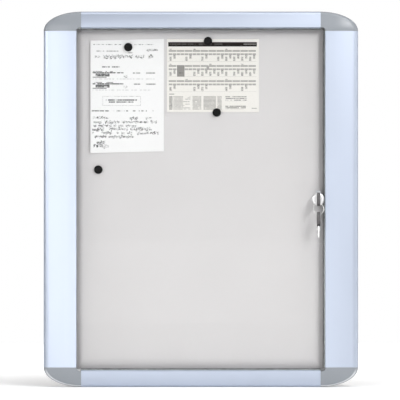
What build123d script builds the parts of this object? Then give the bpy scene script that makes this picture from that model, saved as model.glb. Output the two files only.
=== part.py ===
from build123d import *
import os
from math import asin, degrees, hypot, radians, sqrt, tan

# Notice board display case, hung on a wall.
# +X is to the right, +Z is up, the wall is the plane Y = 0 and the front faces -Y.
# Heights off the wall are called v, so v = -Y. A profile's section is drawn in (u, v), where u = 0 is the
# edge of the opening and u grows outwards.

os.makedirs("parts", exist_ok=True)

# Frame
case_width = 860.0
case_height = 1026.0
case_depth = 52.0
side_width = 90.0
rail_width = 44.0
corner_overlap_x = 12.5
corner_overlap_z = 9.0
opening_radius = 9.0
crown_radius = 160.0
edge_radius = 11.0
joint_gap = 0.3
fit = 0.4
quarter_turn = 90.0

# Walls of the extruded profiles and of the moulded corner covers
profile_wall = 2.2
rear_wall = 2.5
web_inset = 38.0
lip_reach = 20.0
lip_thickness = 3.0
nose_radius = 1.2
cover_wall = 2.5

# Board in the profiles' grooves
backing_thickness = 8.0
panel_thickness = 1.0
groove_play = 0.3
board_seat = 7.0

# Pane and its stops
pane_thickness = 4.0
pane_set_back = 5.0
pane_side_gap = 1.5
pane_corner_ease = 1.0
stop_reach = 7.0
stop_thickness = 1.8
seal_width = 5.5
seal_thickness = 1.7
seal_play = 0.3
strike_leg = 14.0
strike_screw_count = 5
strike_screw_radius = 1.75
strike_head_radius = 3.4
strike_head_height = 2.2

# Hinge
pivot_inset = 7.0
pin_radius = 2.0
pin_end_gap = 0.7
running_clearance = 0.05
bush_wall = 1.2
bush_flange_radius = 4.8
bush_flange_thickness = 1.5
bush_length = 10.0
thrust_gap = 0.2
post_wall = 1.6
post_width = 10.8
post_foot = 30.0
stile_start = 2.5
stile_wall = 1.2
pane_tuck = 9.5
gasket_thickness = 0.6
gasket_web = 1.0
arm_thickness = 2.0
arm_clear = 0.8
arm_nose_radius = 4.2
tongue_chamber = 3.6
arm_tongue_length = 36.0
arm_fit = 0.15
arm_screw_radius = 1.2
arm_screw_head_radius = 2.2
arm_screw_head_height = 1.2

# Corner brackets
plate_thickness = 4.0
tongue_length = 42.0
tongue_root = 14.0
tongue_width = 20.0
tongue_height = 12.0
tongue_screw_place = 25.0
fixing_inset_x = 40.0
fixing_inset_z = 26.0
fixing_radius = 3.5
peg_radius = 2.5
peg_grip = 8.0
boss_radius = 5.0
boss_height = 30.0
side_peg_inset = 22.5
side_peg_rise = 8.0
rail_peg_inset = 15.0
rail_peg_run = 25.0
screw_radius = 1.9
screw_head_radius = 3.8
screw_length = 12.0
countersink_angle = 90.0

# Lock
lock_z = 0.0
rosette_radius = 17.2
rosette_thickness = 4.0
rosette_rim = 1.6
barrel_radius = 9.4
barrel_flats = 16.4
barrel_length = 19.5
washer_thickness = 0.5
washer_overhang = 1.0
nut_across_flats = 22.0
nut_thickness = 3.4
nut_stop_gap = 1.5
plug_radius = 6.95
plug_proud = 0.4
drive_size = 7.0
cam_thickness = 2.3
cam_grip = 4.5
cam_width = 14.0
cam_crank_start = 11.0
cam_crank_run = 3.0
cam_play = 0.5
cam_screw_radius = 2.4
cam_screw_head_radius = 4.6
cam_screw_head_height = 2.6
cam_screw_grip = 3.5

# Keys and ring
bow_radius = 18.5
bow_hole_radius = 14.0
bow_thickness = 9.0
bow_round = 1.6
neck_width = 13.0
neck_length = 2.0
tang_width = 6.0
tang_thickness = 2.6
tang_length = 4.0
collar_radius = 4.2
collar_length = 12.5
blade_length = 19.0
blade_width = 8.4
blade_thickness = 3.2
blade_tip = 2.2
bit_depth = 1.7
bit_pitch = 3.6
bit_count = 4
keyway_clearance = 0.2
ring_radius = 14.3
ring_wire_radial = 2.2
ring_wire_axial = 2.6
ring_round = 0.7
ring_hang = 0.6

# Magnets and sheets, whose spots are measured from the top left of the opening, to the right and down
magnet_radius = 11.5
magnet_height = 8.0
magnet_round = 1.6
magnet_disc_radius = 9.0
magnet_disc_height = 4.6
magnet_spots = [(140.8, 52.5), (359.3, 35.5), (383.3, 231.5), (58.8, 388.0)]
paper_thickness = 0.2
notice_width = 201.0
notice_height = 308.0
notice_slope = 5.0
notice_spot = (138.0, 186.0)
timetable_width = 252.5
timetable_height = 200.0
timetable_spot = (373.1, 130.0)

# Places that follow from the sizes above
opening_width = case_width - 2 * side_width
opening_height = case_height - 2 * rail_width
corner_width = side_width + corner_overlap_x
corner_height = rail_width + corner_overlap_z
corner_x = case_width / 2 - corner_width
corner_z = case_height / 2 - corner_height
side_length = 2 * (corner_z - joint_gap)
rail_length = 2 * (corner_x - joint_gap)
edge_offset = corner_height - edge_radius
edge_height = case_depth - crown_radius + sqrt((crown_radius - edge_radius) ** 2 - edge_offset**2)
crown_turn = degrees(asin(edge_offset / (crown_radius - edge_radius)))
lip_back = case_depth - lip_thickness
web_place = side_width - web_inset
groove_top = rear_wall + backing_thickness + panel_thickness + 2 * groove_play
groove_depth = board_seat + fit
side_tongue_place = (web_place + profile_wall / 2 + side_width - profile_wall) / 2
rail_tongue_place = (groove_depth + profile_wall + rail_width - profile_wall) / 2
side_peg = (corner_width - side_peg_inset, side_peg_rise)
rail_peg = (rail_peg_run, corner_height - rail_peg_inset)
fixing_x = case_width / 2 - fixing_inset_x
fixing_z = case_height / 2 - fixing_inset_z
backing_back = rear_wall + groove_play
panel_back = backing_back + backing_thickness
board_front = panel_back + panel_thickness
board_width = opening_width + 2 * (lip_reach + board_seat)
board_height = opening_height + 2 * board_seat
pane_front = lip_back - pane_set_back
pane_back = pane_front - pane_thickness
pane_left = -opening_width / 2 - pane_tuck
pane_right = opening_width / 2 - pane_side_gap
pane_top = opening_height / 2 - arm_thickness - arm_clear
pane_corner_radius = opening_radius - pane_corner_ease
stop_front = pane_back - seal_play - seal_thickness
stop_back = stop_front - stop_thickness
pivot_x = -opening_width / 2 + pivot_inset
pivot_v = pane_back + pane_thickness / 2
bush_start = pane_top + arm_thickness + thrust_gap
bush_radius = pin_radius + running_clearance + bush_wall
post_start = bush_start + bush_flange_thickness
pin_length = post_start + bush_length - pin_end_gap - pane_top
stile_half = pane_thickness / 2 + gasket_thickness + stile_wall
channel_end = pane_tuck + gasket_web
chamber_start = channel_end + stile_wall
stile_end = chamber_start + tongue_chamber + stile_wall
lock_inset = stop_reach + nut_stop_gap + nut_across_flats / 2
lock_x = opening_width / 2 - lock_inset
rosette_back = pane_front + washer_thickness
rosette_front = rosette_back + rosette_thickness
plug_front = rosette_front + plug_proud
plug_bore = plug_radius + running_clearance
barrel_back = rosette_back - barrel_length
nut_front = pane_back - washer_thickness
washer_radius = nut_across_flats / 2 + washer_overhang
cam_front = barrel_back
cam_tip_front = stop_back - cam_play
cam_back = cam_front - cam_thickness
cam_reach = lock_inset + cam_grip
neck_end = bow_radius + neck_length
bow_v = plug_front + collar_length + neck_end
bit_side = bit_depth * sqrt(2)
ring_z = lock_z - bow_hole_radius + ring_hang + ring_wire_radial / 2 - ring_radius
spare_z = ring_z - ring_radius + ring_wire_radial / 2 + ring_hang - bow_hole_radius

corners = {
    "top_right": (1, 1),
    "top_left": (-1, 1),
    "bottom_right": (1, -1),
    "bottom_left": (-1, -1),
}


def band_plane(outward, start):
    """Plane of a profile's section: local x is u, outwards, and local y is v."""
    return Plane(origin=start, x_dir=outward, z_dir=Vector(outward).cross(Vector(0, -1, 0)))


def facing_front(x, z, v):
    """Plane parallel to the wall at height v, with its normal to the front."""
    return Plane(origin=(x, -v, z), x_dir=(1, 0, 0), z_dir=(0, -1, 0))


def facing_wall(x, z, v):
    """Plane parallel to the wall at height v, with its normal to the wall."""
    return Plane(origin=(x, -v, z), x_dir=(1, 0, 0), z_dir=(0, 1, 0))


def crown_height(x, z):
    """Height of the crowned front over a point of a corner, given from the corner's centre."""
    reach = hypot(x * corner_height / corner_width, z)
    return case_depth - crown_radius + sqrt(crown_radius**2 - reach**2)


def draw_front(half_width, overlap, inset, start):
    """Draws the crowned front from the outer wall in to u = start, set in from the face by inset.

    The side profiles' front is the rails' front stretched sideways, so that both meet the corners flush.
    """
    stretch = (half_width - inset) / (corner_height - inset)
    radius = crown_radius - inset
    edge = EllipticalCenterArc(
        (stretch * edge_offset - overlap, edge_height),
        stretch * (edge_radius - inset),
        edge_radius - inset,
        start_angle=0,
        arc_size=quarter_turn - crown_turn,
    )
    front = EllipticalCenterArc(
        (-overlap, case_depth - crown_radius),
        stretch * radius,
        radius,
        start_angle=quarter_turn - crown_turn,
        arc_size=crown_turn - degrees(asin((start + overlap) / (stretch * radius))),
    )
    return edge, front


def draw_hollow(band, overlap, inner):
    """Draws the profile's chamber, which passes round the board's groove."""
    edge, front = draw_front(band + overlap, overlap, profile_wall, inner + profile_wall)
    shelf = groove_top + profile_wall
    groove_end = inner + groove_depth + profile_wall
    Polyline(
        front @ 1,
        (inner + profile_wall, shelf),
        (groove_end, shelf),
        (groove_end, rear_wall),
        (band - profile_wall, rear_wall),
        edge @ 0,
    )


def placed(piece, side):
    """Copies a piece of the top right corner to another corner."""
    across, up = side
    if across < 0:
        piece = mirror(piece, about=Plane.YZ)
    if up < 0:
        piece = mirror(piece, about=Plane.XY)
    return piece


def tongue_screws():
    """Places of the screws that hold the bracket tongues, from the back."""
    side_x = opening_width / 2 + side_tongue_place
    rail_z = opening_height / 2 + rail_tongue_place
    side_z = corner_z - tongue_screw_place
    rail_x = corner_x - tongue_screw_place
    places = [(side_x, side_z), (rail_x, rail_z)]
    return [facing_wall(across * x, up * z, 0) for across, up in corners.values() for x, z in places]


# Side profiles: a wide crowned extrusion whose lip stands out over the hinge stile and over the stop strip
strike_wall = opening_width / 2 + lip_reach
strike_v = stop_front - strike_leg / 2
strike_step = side_length / strike_screw_count
strike_zs = [(i + 0.5) * strike_step - side_length / 2 for i in range(strike_screw_count)]
side_starts = {
    "left_profile": band_plane((-1, 0, 0), (-opening_width / 2, 0, -side_length / 2)),
    "right_profile": band_plane((1, 0, 0), (opening_width / 2, 0, side_length / 2)),
}
for node, plane in side_starts.items():
    with BuildPart() as side_profile:
        with BuildSketch(plane) as side_section:
            with BuildLine():
                edge, front = draw_front(corner_width, corner_overlap_x, 0, 0)
                Polyline(
                    front @ 1,
                    (0, lip_back),
                    (lip_reach, lip_back),
                    (lip_reach, 0),
                    (side_width, 0),
                    edge @ 0,
                )
            make_face()
            fillet(side_section.vertices().sort_by(Axis.X)[:2], nose_radius)
            with Locations((lip_reach, rear_wall)):
                groove = (groove_depth, groove_top - rear_wall)
                Rectangle(*groove, align=(Align.MIN, Align.MIN), mode=Mode.SUBTRACT)
        extrude(amount=side_length)
        with BuildSketch(plane):
            with BuildLine():
                draw_hollow(side_width, corner_overlap_x, lip_reach)
            make_face()
            with Locations((web_place, case_depth / 2)):
                Rectangle(profile_wall, case_depth, mode=Mode.SUBTRACT)
        extrude(amount=side_length, mode=Mode.SUBTRACT)
        with Locations(*tongue_screws()):
            CounterSinkHole(screw_radius, screw_head_radius, rear_wall, countersink_angle)
        if node == "right_profile":
            with Locations(*[Plane((strike_wall, -strike_v, z), z_dir=(-1, 0, 0)) for z in strike_zs]):
                Hole(strike_screw_radius, depth=profile_wall)
    side_profile.part.label = node
    export_step(side_profile.part, f"parts/{node}.step")

# Rails: the narrow extrusion, with the pane's stop standing into the opening
rail_starts = {
    "top_profile": band_plane((0, 0, 1), (-rail_length / 2, 0, opening_height / 2)),
    "bottom_profile": band_plane((0, 0, -1), (rail_length / 2, 0, -opening_height / 2)),
}
for node, plane in rail_starts.items():
    with BuildPart() as rail_profile:
        with BuildSketch(plane) as rail_section:
            with BuildLine():
                edge, front = draw_front(corner_height, corner_overlap_z, 0, 0)
                Polyline(
                    front @ 1,
                    (0, stop_front),
                    (-stop_reach, stop_front),
                    (-stop_reach, stop_back),
                    (0, stop_back),
                    (0, 0),
                    (rail_width, 0),
                    edge @ 0,
                )
            make_face()
            fillet(rail_section.vertices().sort_by_distance((0, case_depth))[:1], nose_radius)
            with Locations((0, rear_wall)):
                groove = (groove_depth, groove_top - rear_wall)
                Rectangle(*groove, align=(Align.MIN, Align.MIN), mode=Mode.SUBTRACT)
        extrude(amount=rail_length)
        with BuildSketch(plane):
            with BuildLine():
                draw_hollow(rail_width, corner_overlap_z, 0)
            make_face()
        extrude(amount=rail_length, mode=Mode.SUBTRACT)
        with Locations(*tongue_screws()):
            CounterSinkHole(screw_radius, screw_head_radius, rear_wall, countersink_angle)
    rail_profile.part.label = node
    export_step(rail_profile.part, f"parts/{node}.step")


def corner_dome(inset):
    """Quarter dome about the corner's centre: the rails' front turned through 90 degrees and stretched."""
    with BuildPart() as dome:
        with BuildSketch(band_plane((0, 0, 1), (0, 0, 0))):
            with BuildLine():
                edge, front = draw_front(corner_height, 0, inset, 0)
                Polyline(front @ 1, (0, 0), (corner_height - inset, 0), edge @ 0)
            make_face()
        revolve(axis=Axis.Y, revolution_arc=quarter_turn)
        scale(by=((corner_width - inset) / (corner_height - inset), 1, 1))
    return dome.part


# Corner covers: thin domed mouldings with two pegs that grip the bracket's bosses
peg_tip = boss_height - peg_grip
with BuildPart() as corner_cover:
    with Locations((corner_x, 0, corner_z)):
        add(corner_dome(0))
        add(corner_dome(cover_wall), mode=Mode.SUBTRACT)
    with BuildSketch(Plane.XZ):
        RectangleRounded(opening_width, opening_height, opening_radius)
    extrude(amount=case_depth + cover_wall, mode=Mode.SUBTRACT)
    notch = corner_cover.edges().filter_by_position(Axis.Y, -case_depth, lip_thickness / 2 - case_depth)
    fillet(notch, nose_radius)
    for peg in (side_peg, rail_peg):
        with BuildSketch(Plane.XZ.offset(peg_tip)):
            with Locations((corner_x + peg[0], corner_z + peg[1])):
                Circle(peg_radius)
        extrude(amount=crown_height(*peg) - cover_wall / 2 - peg_tip)

for corner, side in corners.items():
    cover = placed(corner_cover.part, side)
    cover.label = f"corner_cover_{corner}"
    export_step(cover, f"parts/{cover.label}.step")


# Corner brackets: a plate on the wall, a tongue in each profile, bosses for the cover and, at the hinge
# side, a post that holds the pivot bush
def corner_bracket(hinged):
    """Bracket of the top right corner, with the hinge post where the door hangs."""
    pegs = [(corner_x + x, corner_z + z) for x, z in (side_peg, rail_peg)]
    with BuildPart() as bracket:
        with BuildSketch(Plane.XZ):
            with Locations((corner_x, corner_z)):
                Ellipse(corner_width - cover_wall - fit, corner_height - cover_wall - fit)
                quarter = (corner_width, corner_height)
                Rectangle(*quarter, align=(Align.MIN, Align.MIN), mode=Mode.INTERSECT)
            Rectangle(board_width + 2 * fit, board_height + 2 * fit, mode=Mode.SUBTRACT)
        extrude(amount=plate_thickness)
        with BuildSketch(Plane.XZ.offset(rear_wall + fit)):
            with Locations((opening_width / 2 + side_tongue_place, corner_z + tongue_root)):
                side_tongue = (tongue_width, tongue_length + tongue_root)
                Rectangle(*side_tongue, align=(Align.CENTER, Align.MAX))
            with Locations((corner_x + tongue_root, opening_height / 2 + rail_tongue_place)):
                rail_tongue = (tongue_length + tongue_root, tongue_width)
                Rectangle(*rail_tongue, align=(Align.MAX, Align.CENTER))
        extrude(amount=tongue_height)
        with BuildSketch(Plane.XZ):
            with Locations(*pegs):
                Circle(boss_radius)
        extrude(amount=boss_height)
        if hinged:
            post_top = pivot_v + bush_radius + post_wall
            post_end = post_start + bush_length
            foot = board_height / 2 + fit
            post_plane = Plane((-pivot_x, 0, 0), x_dir=(0, 0, 1), z_dir=(1, 0, 0))
            with BuildSketch(post_plane):
                with BuildLine():
                    Polyline(
                        (foot, 0),
                        (foot + post_foot, 0),
                        (post_end, post_top),
                        (post_start, post_top),
                        (post_start, pivot_v - bush_radius - post_wall),
                        (foot, board_front + post_wall),
                        close=True,
                    )
                make_face()
            extrude(amount=post_width / 2, both=True)
            with Locations(Plane((-pivot_x, -pivot_v, post_start), z_dir=(0, 0, -1))):
                Hole(bush_radius, depth=bush_length)
        with Locations(*[facing_front(x, z, boss_height) for x, z in pegs]):
            Hole(peg_radius + fit / 2, depth=peg_grip + fit)
        with Locations(facing_front(fixing_x, fixing_z, plate_thickness)):
            Hole(fixing_radius, depth=plate_thickness)
        with Locations(*tongue_screws()):
            Hole(screw_radius, depth=screw_length)
    return bracket.part


for corner, side in corners.items():
    bracket = placed(corner_bracket(hinged=side[0] < 0), side)
    bracket.label = f"corner_bracket_{corner}"
    export_step(bracket, f"parts/{bracket.label}.step")

screw_head_depth = (screw_head_radius - screw_radius) / tan(radians(countersink_angle / 2))
with BuildPart() as bracket_screws:
    with Locations(*tongue_screws()):
        seat = (Align.CENTER, Align.CENTER, Align.MAX)
        Cylinder(screw_radius, screw_length, align=seat)
        Cone(screw_radius, screw_head_radius, screw_head_depth, align=seat)
bracket_screws.part.label = "bracket_screws"
export_step(bracket_screws.part, "parts/bracket_screws.step")

# Board: a fibre backing with a thin steel sheet in front, both in the profiles' grooves
board_layers = {
    "backing_board": (backing_back, backing_thickness),
    "magnetic_panel": (panel_back, panel_thickness),
}
for node, (back, thickness) in board_layers.items():
    with BuildPart() as board:
        with BuildSketch(Plane.XZ.offset(back)):
            Rectangle(board_width, board_height)
        extrude(amount=thickness)
    board.part.label = node
    export_step(board.part, f"parts/{node}.step")

# Stop strip on the lock side, which the pane closes against and the cam reaches behind
strike_length = 2 * corner_z
with BuildPart() as strike_strip:
    with BuildSketch(band_plane((1, 0, 0), (opening_width / 2, 0, strike_length / 2))):
        with BuildLine():
            Polyline(
                (-stop_reach, stop_front),
                (lip_reach, stop_front),
                (lip_reach, stop_front - strike_leg),
                (lip_reach - stop_thickness, stop_front - strike_leg),
                (lip_reach - stop_thickness, stop_back),
                (-stop_reach, stop_back),
                close=True,
            )
        make_face()
    extrude(amount=strike_length)
    with Locations(*[Plane((strike_wall, -strike_v, z), z_dir=(1, 0, 0)) for z in strike_zs]):
        Hole(strike_screw_radius, depth=stop_thickness)
strike_strip.part.label = "strike_strip"
export_step(strike_strip.part, "parts/strike_strip.step")

with BuildPart() as strike_screws:
    head_seat = strike_wall - stop_thickness
    for z in strike_zs:
        with BuildSketch(Plane((head_seat, -strike_v, z), z_dir=(-1, 0, 0))):
            Circle(strike_head_radius)
        extrude(amount=strike_head_height)
        with BuildSketch(Plane((head_seat, -strike_v, z), z_dir=(1, 0, 0))):
            Circle(strike_screw_radius)
        extrude(amount=stop_thickness + 2 * profile_wall)
strike_screws.part.label = "strike_screws"
export_step(strike_screws.part, "parts/strike_screws.step")

# Soft seals on the stops' front
seal_x = opening_width / 2 - stop_reach
seal_z = opening_height / 2 - stop_reach
seal_ends = {
    "seal_top": ((0, seal_z), (rail_length, seal_width), (Align.CENTER, Align.MIN)),
    "seal_bottom": ((0, -seal_z), (rail_length, seal_width), (Align.CENTER, Align.MAX)),
    "seal_lock_side": ((seal_x, 0), (seal_width, 2 * seal_z - 2 * fit), (Align.MIN, Align.CENTER)),
}
for node, (place, size, align) in seal_ends.items():
    with BuildPart() as seal:
        with BuildSketch(Plane.XZ.offset(stop_front)):
            with Locations(place):
                Rectangle(*size, align=align)
        extrude(amount=seal_thickness)
        fillet(seal.faces().sort_by(Axis.Y)[0].edges(), seal_thickness / 2)
    seal.part.label = node
    export_step(seal.part, f"parts/{node}.step")

# Door: a clear pane whose left edge sits in a stile behind the frame's lip
with BuildPart() as door_pane:
    with BuildSketch(Plane.XZ.offset(pane_back)) as pane_outline:
        with Locations((pane_left, 0)):
            Rectangle(pane_right - pane_left, 2 * pane_top, align=(Align.MIN, Align.CENTER))
        fillet(pane_outline.vertices().group_by(Axis.X)[-1], pane_corner_radius)
        with BuildSketch(mode=Mode.SUBTRACT):
            with Locations((lock_x, lock_z)):
                Circle(barrel_radius + fit)
                Rectangle(barrel_flats + 2 * fit, 2 * rosette_radius, mode=Mode.INTERSECT)
    extrude(amount=pane_thickness)
door_pane.part.label = "door_pane"
export_step(door_pane.part, "parts/door_pane.step")

stile_plane = band_plane((-1, 0, 0), (-opening_width / 2, 0, -pane_top))
with BuildPart() as hinge_stile:
    with BuildSketch(stile_plane):
        with Locations((stile_start, pivot_v)):
            Rectangle(stile_end - stile_start, 2 * stile_half, align=(Align.MIN, Align.CENTER))
            channel = (channel_end - stile_start, 2 * (stile_half - stile_wall))
            Rectangle(*channel, align=(Align.MIN, Align.CENTER), mode=Mode.SUBTRACT)
        with Locations((chamber_start, pivot_v)):
            chamber = (tongue_chamber, 2 * (stile_half - stile_wall))
            Rectangle(*chamber, align=(Align.MIN, Align.CENTER), mode=Mode.SUBTRACT)
    extrude(amount=2 * pane_top)
    screw_x = -opening_width / 2 - chamber_start - tongue_chamber / 2
    screw_z = pane_top - arm_tongue_length / 2
    with Locations(*[facing_wall(screw_x, z, pivot_v - stile_half) for z in (screw_z, -screw_z)]):
        Hole(arm_screw_radius, depth=stile_wall)
hinge_stile.part.label = "hinge_stile"
export_step(hinge_stile.part, "parts/hinge_stile.step")

with BuildPart() as stile_gasket:
    with BuildSketch(stile_plane):
        with Locations((stile_start, pivot_v)):
            outside = (channel_end - stile_start, 2 * (stile_half - stile_wall))
            Rectangle(*outside, align=(Align.MIN, Align.CENTER))
            inside = (pane_tuck - stile_start, pane_thickness)
            Rectangle(*inside, align=(Align.MIN, Align.CENTER), mode=Mode.SUBTRACT)
    extrude(amount=2 * pane_top)
stile_gasket.part.label = "stile_gasket"
export_step(stile_gasket.part, "parts/stile_gasket.step")

# Hinge arms: a flat arm on the stile's end, with a tongue down the stile and a pin up into the bush
with BuildPart() as hinge_arm:
    arm_plane = band_plane((-1, 0, 0), (-opening_width / 2, 0, pane_top))
    with BuildSketch(arm_plane):
        with Locations((-pivot_inset, pivot_v)):
            Circle(arm_nose_radius)
            arm = (stile_end + pivot_inset, 2 * (stile_half - arm_fit))
            Rectangle(*arm, align=(Align.MIN, Align.CENTER))
            Circle(pin_radius, mode=Mode.SUBTRACT)
    extrude(amount=arm_thickness)
    with BuildSketch(arm_plane):
        with Locations((chamber_start + tongue_chamber / 2, pivot_v)):
            Rectangle(tongue_chamber - 2 * arm_fit, 2 * (stile_half - stile_wall - arm_fit))
    extrude(amount=-arm_tongue_length)
    with Locations(facing_wall(screw_x, screw_z, pivot_v - stile_half)):
        Hole(arm_screw_radius, depth=stile_half)
with BuildPart() as hinge_pin:
    with BuildSketch(Plane((pivot_x, -pivot_v, pane_top))):
        Circle(pin_radius)
    extrude(amount=pin_length)
    chamfer(hinge_pin.edges().sort_by(Axis.Z)[-1], pin_radius / 4)
with BuildPart() as hinge_bush:
    with BuildSketch(Plane((pivot_x, -pivot_v, bush_start))):
        Circle(bush_flange_radius)
    extrude(amount=bush_flange_thickness)
    with BuildSketch(Plane((pivot_x, -pivot_v, post_start))):
        Circle(bush_radius)
    extrude(amount=bush_length)
    with Locations(Plane((pivot_x, -pivot_v, bush_start))):
        Hole(pin_radius + running_clearance, depth=bush_flange_thickness + bush_length)
for name, piece in (("hinge_arm", hinge_arm), ("hinge_pin", hinge_pin), ("hinge_bush", hinge_bush)):
    for end in ("top", "bottom"):
        hinge_piece = piece.part if end == "top" else mirror(piece.part, about=Plane.XY)
        hinge_piece.label = f"{name}_{end}"
        export_step(hinge_piece, f"parts/{hinge_piece.label}.step")

with BuildPart() as arm_screws:
    for z in (screw_z, -screw_z):
        with BuildSketch(facing_wall(screw_x, z, pivot_v - stile_half)):
            Circle(arm_screw_head_radius)
        extrude(amount=arm_screw_head_height)
        with BuildSketch(facing_front(screw_x, z, pivot_v - stile_half)):
            Circle(arm_screw_radius)
        extrude(amount=stile_half)
arm_screws.part.label = "arm_screws"
export_step(arm_screws.part, "parts/arm_screws.step")

# Lock: a round rosette and a flatted barrel through the pane, with washers and a nut
lock_axis = Axis((lock_x, 0, lock_z), (0, 1, 0))
with BuildPart() as lock_body:
    with BuildSketch(facing_front(lock_x, lock_z, barrel_back)):
        Circle(barrel_radius)
        Rectangle(barrel_flats, 2 * barrel_radius, mode=Mode.INTERSECT)
    extrude(amount=barrel_length)
    with BuildSketch(band_plane((1, 0, 0), (lock_x, 0, lock_z))):
        with BuildLine():
            rim = rosette_back + rosette_rim
            slope = (rosette_radius - barrel_radius, rosette_front - rim)
            shoulder_line = EllipticalCenterArc((barrel_radius, rim), *slope)
            Polyline(
                shoulder_line @ 1,
                (0, rosette_front),
                (0, rosette_back),
                (rosette_radius, rosette_back),
                shoulder_line @ 0,
            )
        make_face()
    revolve(axis=lock_axis)
    with Locations(facing_front(lock_x, lock_z, rosette_front)):
        Hole(plug_bore, depth=barrel_length + rosette_thickness)
lock_body.part.label = "lock_body"
export_step(lock_body.part, "parts/lock_body.step")

washer_places = {"lock_front_washer": pane_front, "lock_back_washer": nut_front}
for node, back in washer_places.items():
    with BuildPart() as washer:
        with BuildSketch(Plane.XZ.offset(back)):
            with Locations((lock_x, lock_z)):
                Circle(washer_radius)
                Circle(barrel_radius + fit, mode=Mode.SUBTRACT)
        extrude(amount=washer_thickness)
    washer.part.label = node
    export_step(washer.part, f"parts/{node}.step")

with BuildPart() as lock_nut:
    with BuildSketch(Plane.XZ.offset(nut_front - nut_thickness)):
        with Locations((lock_x, lock_z)):
            RegularPolygon(nut_across_flats / 2, 6, major_radius=False, rotation=30)
            Circle(barrel_radius + running_clearance, mode=Mode.SUBTRACT)
    extrude(amount=nut_thickness)
lock_nut.part.label = "lock_nut"
export_step(lock_nut.part, "parts/lock_nut.step")

# Plug: turns in the barrel, with the keyway in front and a square drive behind for the cam
blade_tip_v = plug_front - blade_length
with BuildPart() as lock_plug:
    with BuildSketch(Plane.XZ.offset(barrel_back)):
        with Locations((lock_x, lock_z)):
            Circle(plug_radius)
    extrude(amount=plug_front - barrel_back)
    with BuildSketch(Plane.XZ.offset(cam_back)):
        with Locations((lock_x, lock_z)):
            Rectangle(drive_size, drive_size)
    extrude(amount=cam_thickness)
    with BuildSketch(Plane.XZ.offset(blade_tip_v - keyway_clearance)):
        with Locations((lock_x, lock_z)):
            Rectangle(blade_thickness + 2 * keyway_clearance, blade_width + 2 * keyway_clearance)
    extrude(amount=blade_length + keyway_clearance, mode=Mode.SUBTRACT)
    with Locations(facing_wall(lock_x, lock_z, cam_back)):
        Hole(cam_screw_radius, depth=cam_screw_grip)
lock_plug.part.label = "lock_plug"
export_step(lock_plug.part, "parts/lock_plug.step")

# Cam: a strip cranked forwards to reach close behind the stop, pointing up when the lock is open
crank_end = cam_crank_start + cam_crank_run
with BuildPart() as lock_cam:
    with BuildSketch(Plane((lock_x, 0, lock_z), x_dir=(0, 0, 1), z_dir=(1, 0, 0))):
        with BuildLine():
            Polyline(
                (-cam_width / 2, cam_back),
                (cam_crank_start + cam_thickness, cam_back),
                (crank_end + cam_thickness, cam_tip_front - cam_thickness),
                (cam_reach, cam_tip_front - cam_thickness),
                (cam_reach, cam_tip_front),
                (crank_end, cam_tip_front),
                (cam_crank_start, cam_front),
                (-cam_width / 2, cam_front),
                close=True,
            )
        make_face()
    extrude(amount=cam_width / 2, both=True)
    fillet(lock_cam.edges().filter_by(Axis.Y).group_by(Axis.Z)[-1], cam_width / 3)
    fillet(lock_cam.edges().filter_by(Axis.Y).group_by(Axis.Z)[0], cam_width / 3)
    with BuildSketch(Plane.XZ.offset(cam_back)):
        with Locations((lock_x, lock_z)):
            Rectangle(drive_size + 2 * running_clearance, drive_size + 2 * running_clearance)
    extrude(amount=cam_thickness, mode=Mode.SUBTRACT)
lock_cam.part.label = "lock_cam"
export_step(lock_cam.part, "parts/lock_cam.step")

with BuildPart() as cam_screw:
    with BuildSketch(facing_wall(lock_x, lock_z, cam_back)):
        Circle(cam_screw_head_radius)
    extrude(amount=cam_screw_head_height)
    fillet(cam_screw.faces().sort_by(Axis.Y)[-1].edges(), cam_screw_head_height / 3)
    with BuildSketch(facing_front(lock_x, lock_z, cam_back)):
        Circle(cam_screw_radius)
    extrude(amount=cam_screw_grip)
cam_screw.part.label = "cam_screw"
export_step(cam_screw.part, "parts/cam_screw.step")


# Keys: a moulded loop on a round collar and a flat cut blade
def key_blade(plane):
    """Metal of a key. Local x runs from the bow's centre to the tip, local y is across the blade."""
    across = Plane(plane.from_local_coords(Vector(neck_end, 0, 0)), x_dir=plane.y_dir, z_dir=plane.x_dir)
    shoulder = neck_end + collar_length
    tip = shoulder + blade_length
    half = blade_width / 2
    with BuildPart() as blade:
        with BuildSketch(across):
            Circle(collar_radius)
        extrude(amount=collar_length)
        with BuildSketch(across):
            Rectangle(tang_width, tang_thickness)
        extrude(amount=-tang_length)
        with BuildSketch(plane):
            with BuildLine():
                Polyline(
                    (shoulder, -half),
                    (tip - blade_tip, -half),
                    (tip, -half + blade_tip),
                    (tip, half - blade_tip),
                    (tip - blade_tip, half),
                    (shoulder, half),
                    close=True,
                )
            make_face()
            bits = [(tip - blade_tip - (i + 0.5) * bit_pitch, half) for i in range(bit_count)]
            with Locations(*bits):
                Rectangle(bit_side, bit_side, rotation=quarter_turn / 2, mode=Mode.SUBTRACT)
        extrude(amount=blade_thickness / 2, both=True)
    return blade.part


def key_head(plane):
    """Moulded loop of a key, with a neck that holds the blade's tang."""
    with BuildPart() as head:
        with BuildSketch(plane):
            Circle(bow_radius)
            with Locations((0, 0)):
                Rectangle(neck_end, neck_width, align=(Align.MIN, Align.CENTER))
            Circle(bow_hole_radius, mode=Mode.SUBTRACT)
        extrude(amount=bow_thickness / 2, both=True)
        rims = head.faces().filter_by(Axis.X)
        fillet(rims.edges(), bow_round)
        across = Plane(plane.from_local_coords(Vector(neck_end, 0, 0)), x_dir=plane.y_dir, z_dir=plane.x_dir)
        with BuildSketch(across):
            Rectangle(tang_width, tang_thickness)
        extrude(amount=-tang_length, mode=Mode.SUBTRACT)
    return head.part


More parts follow.
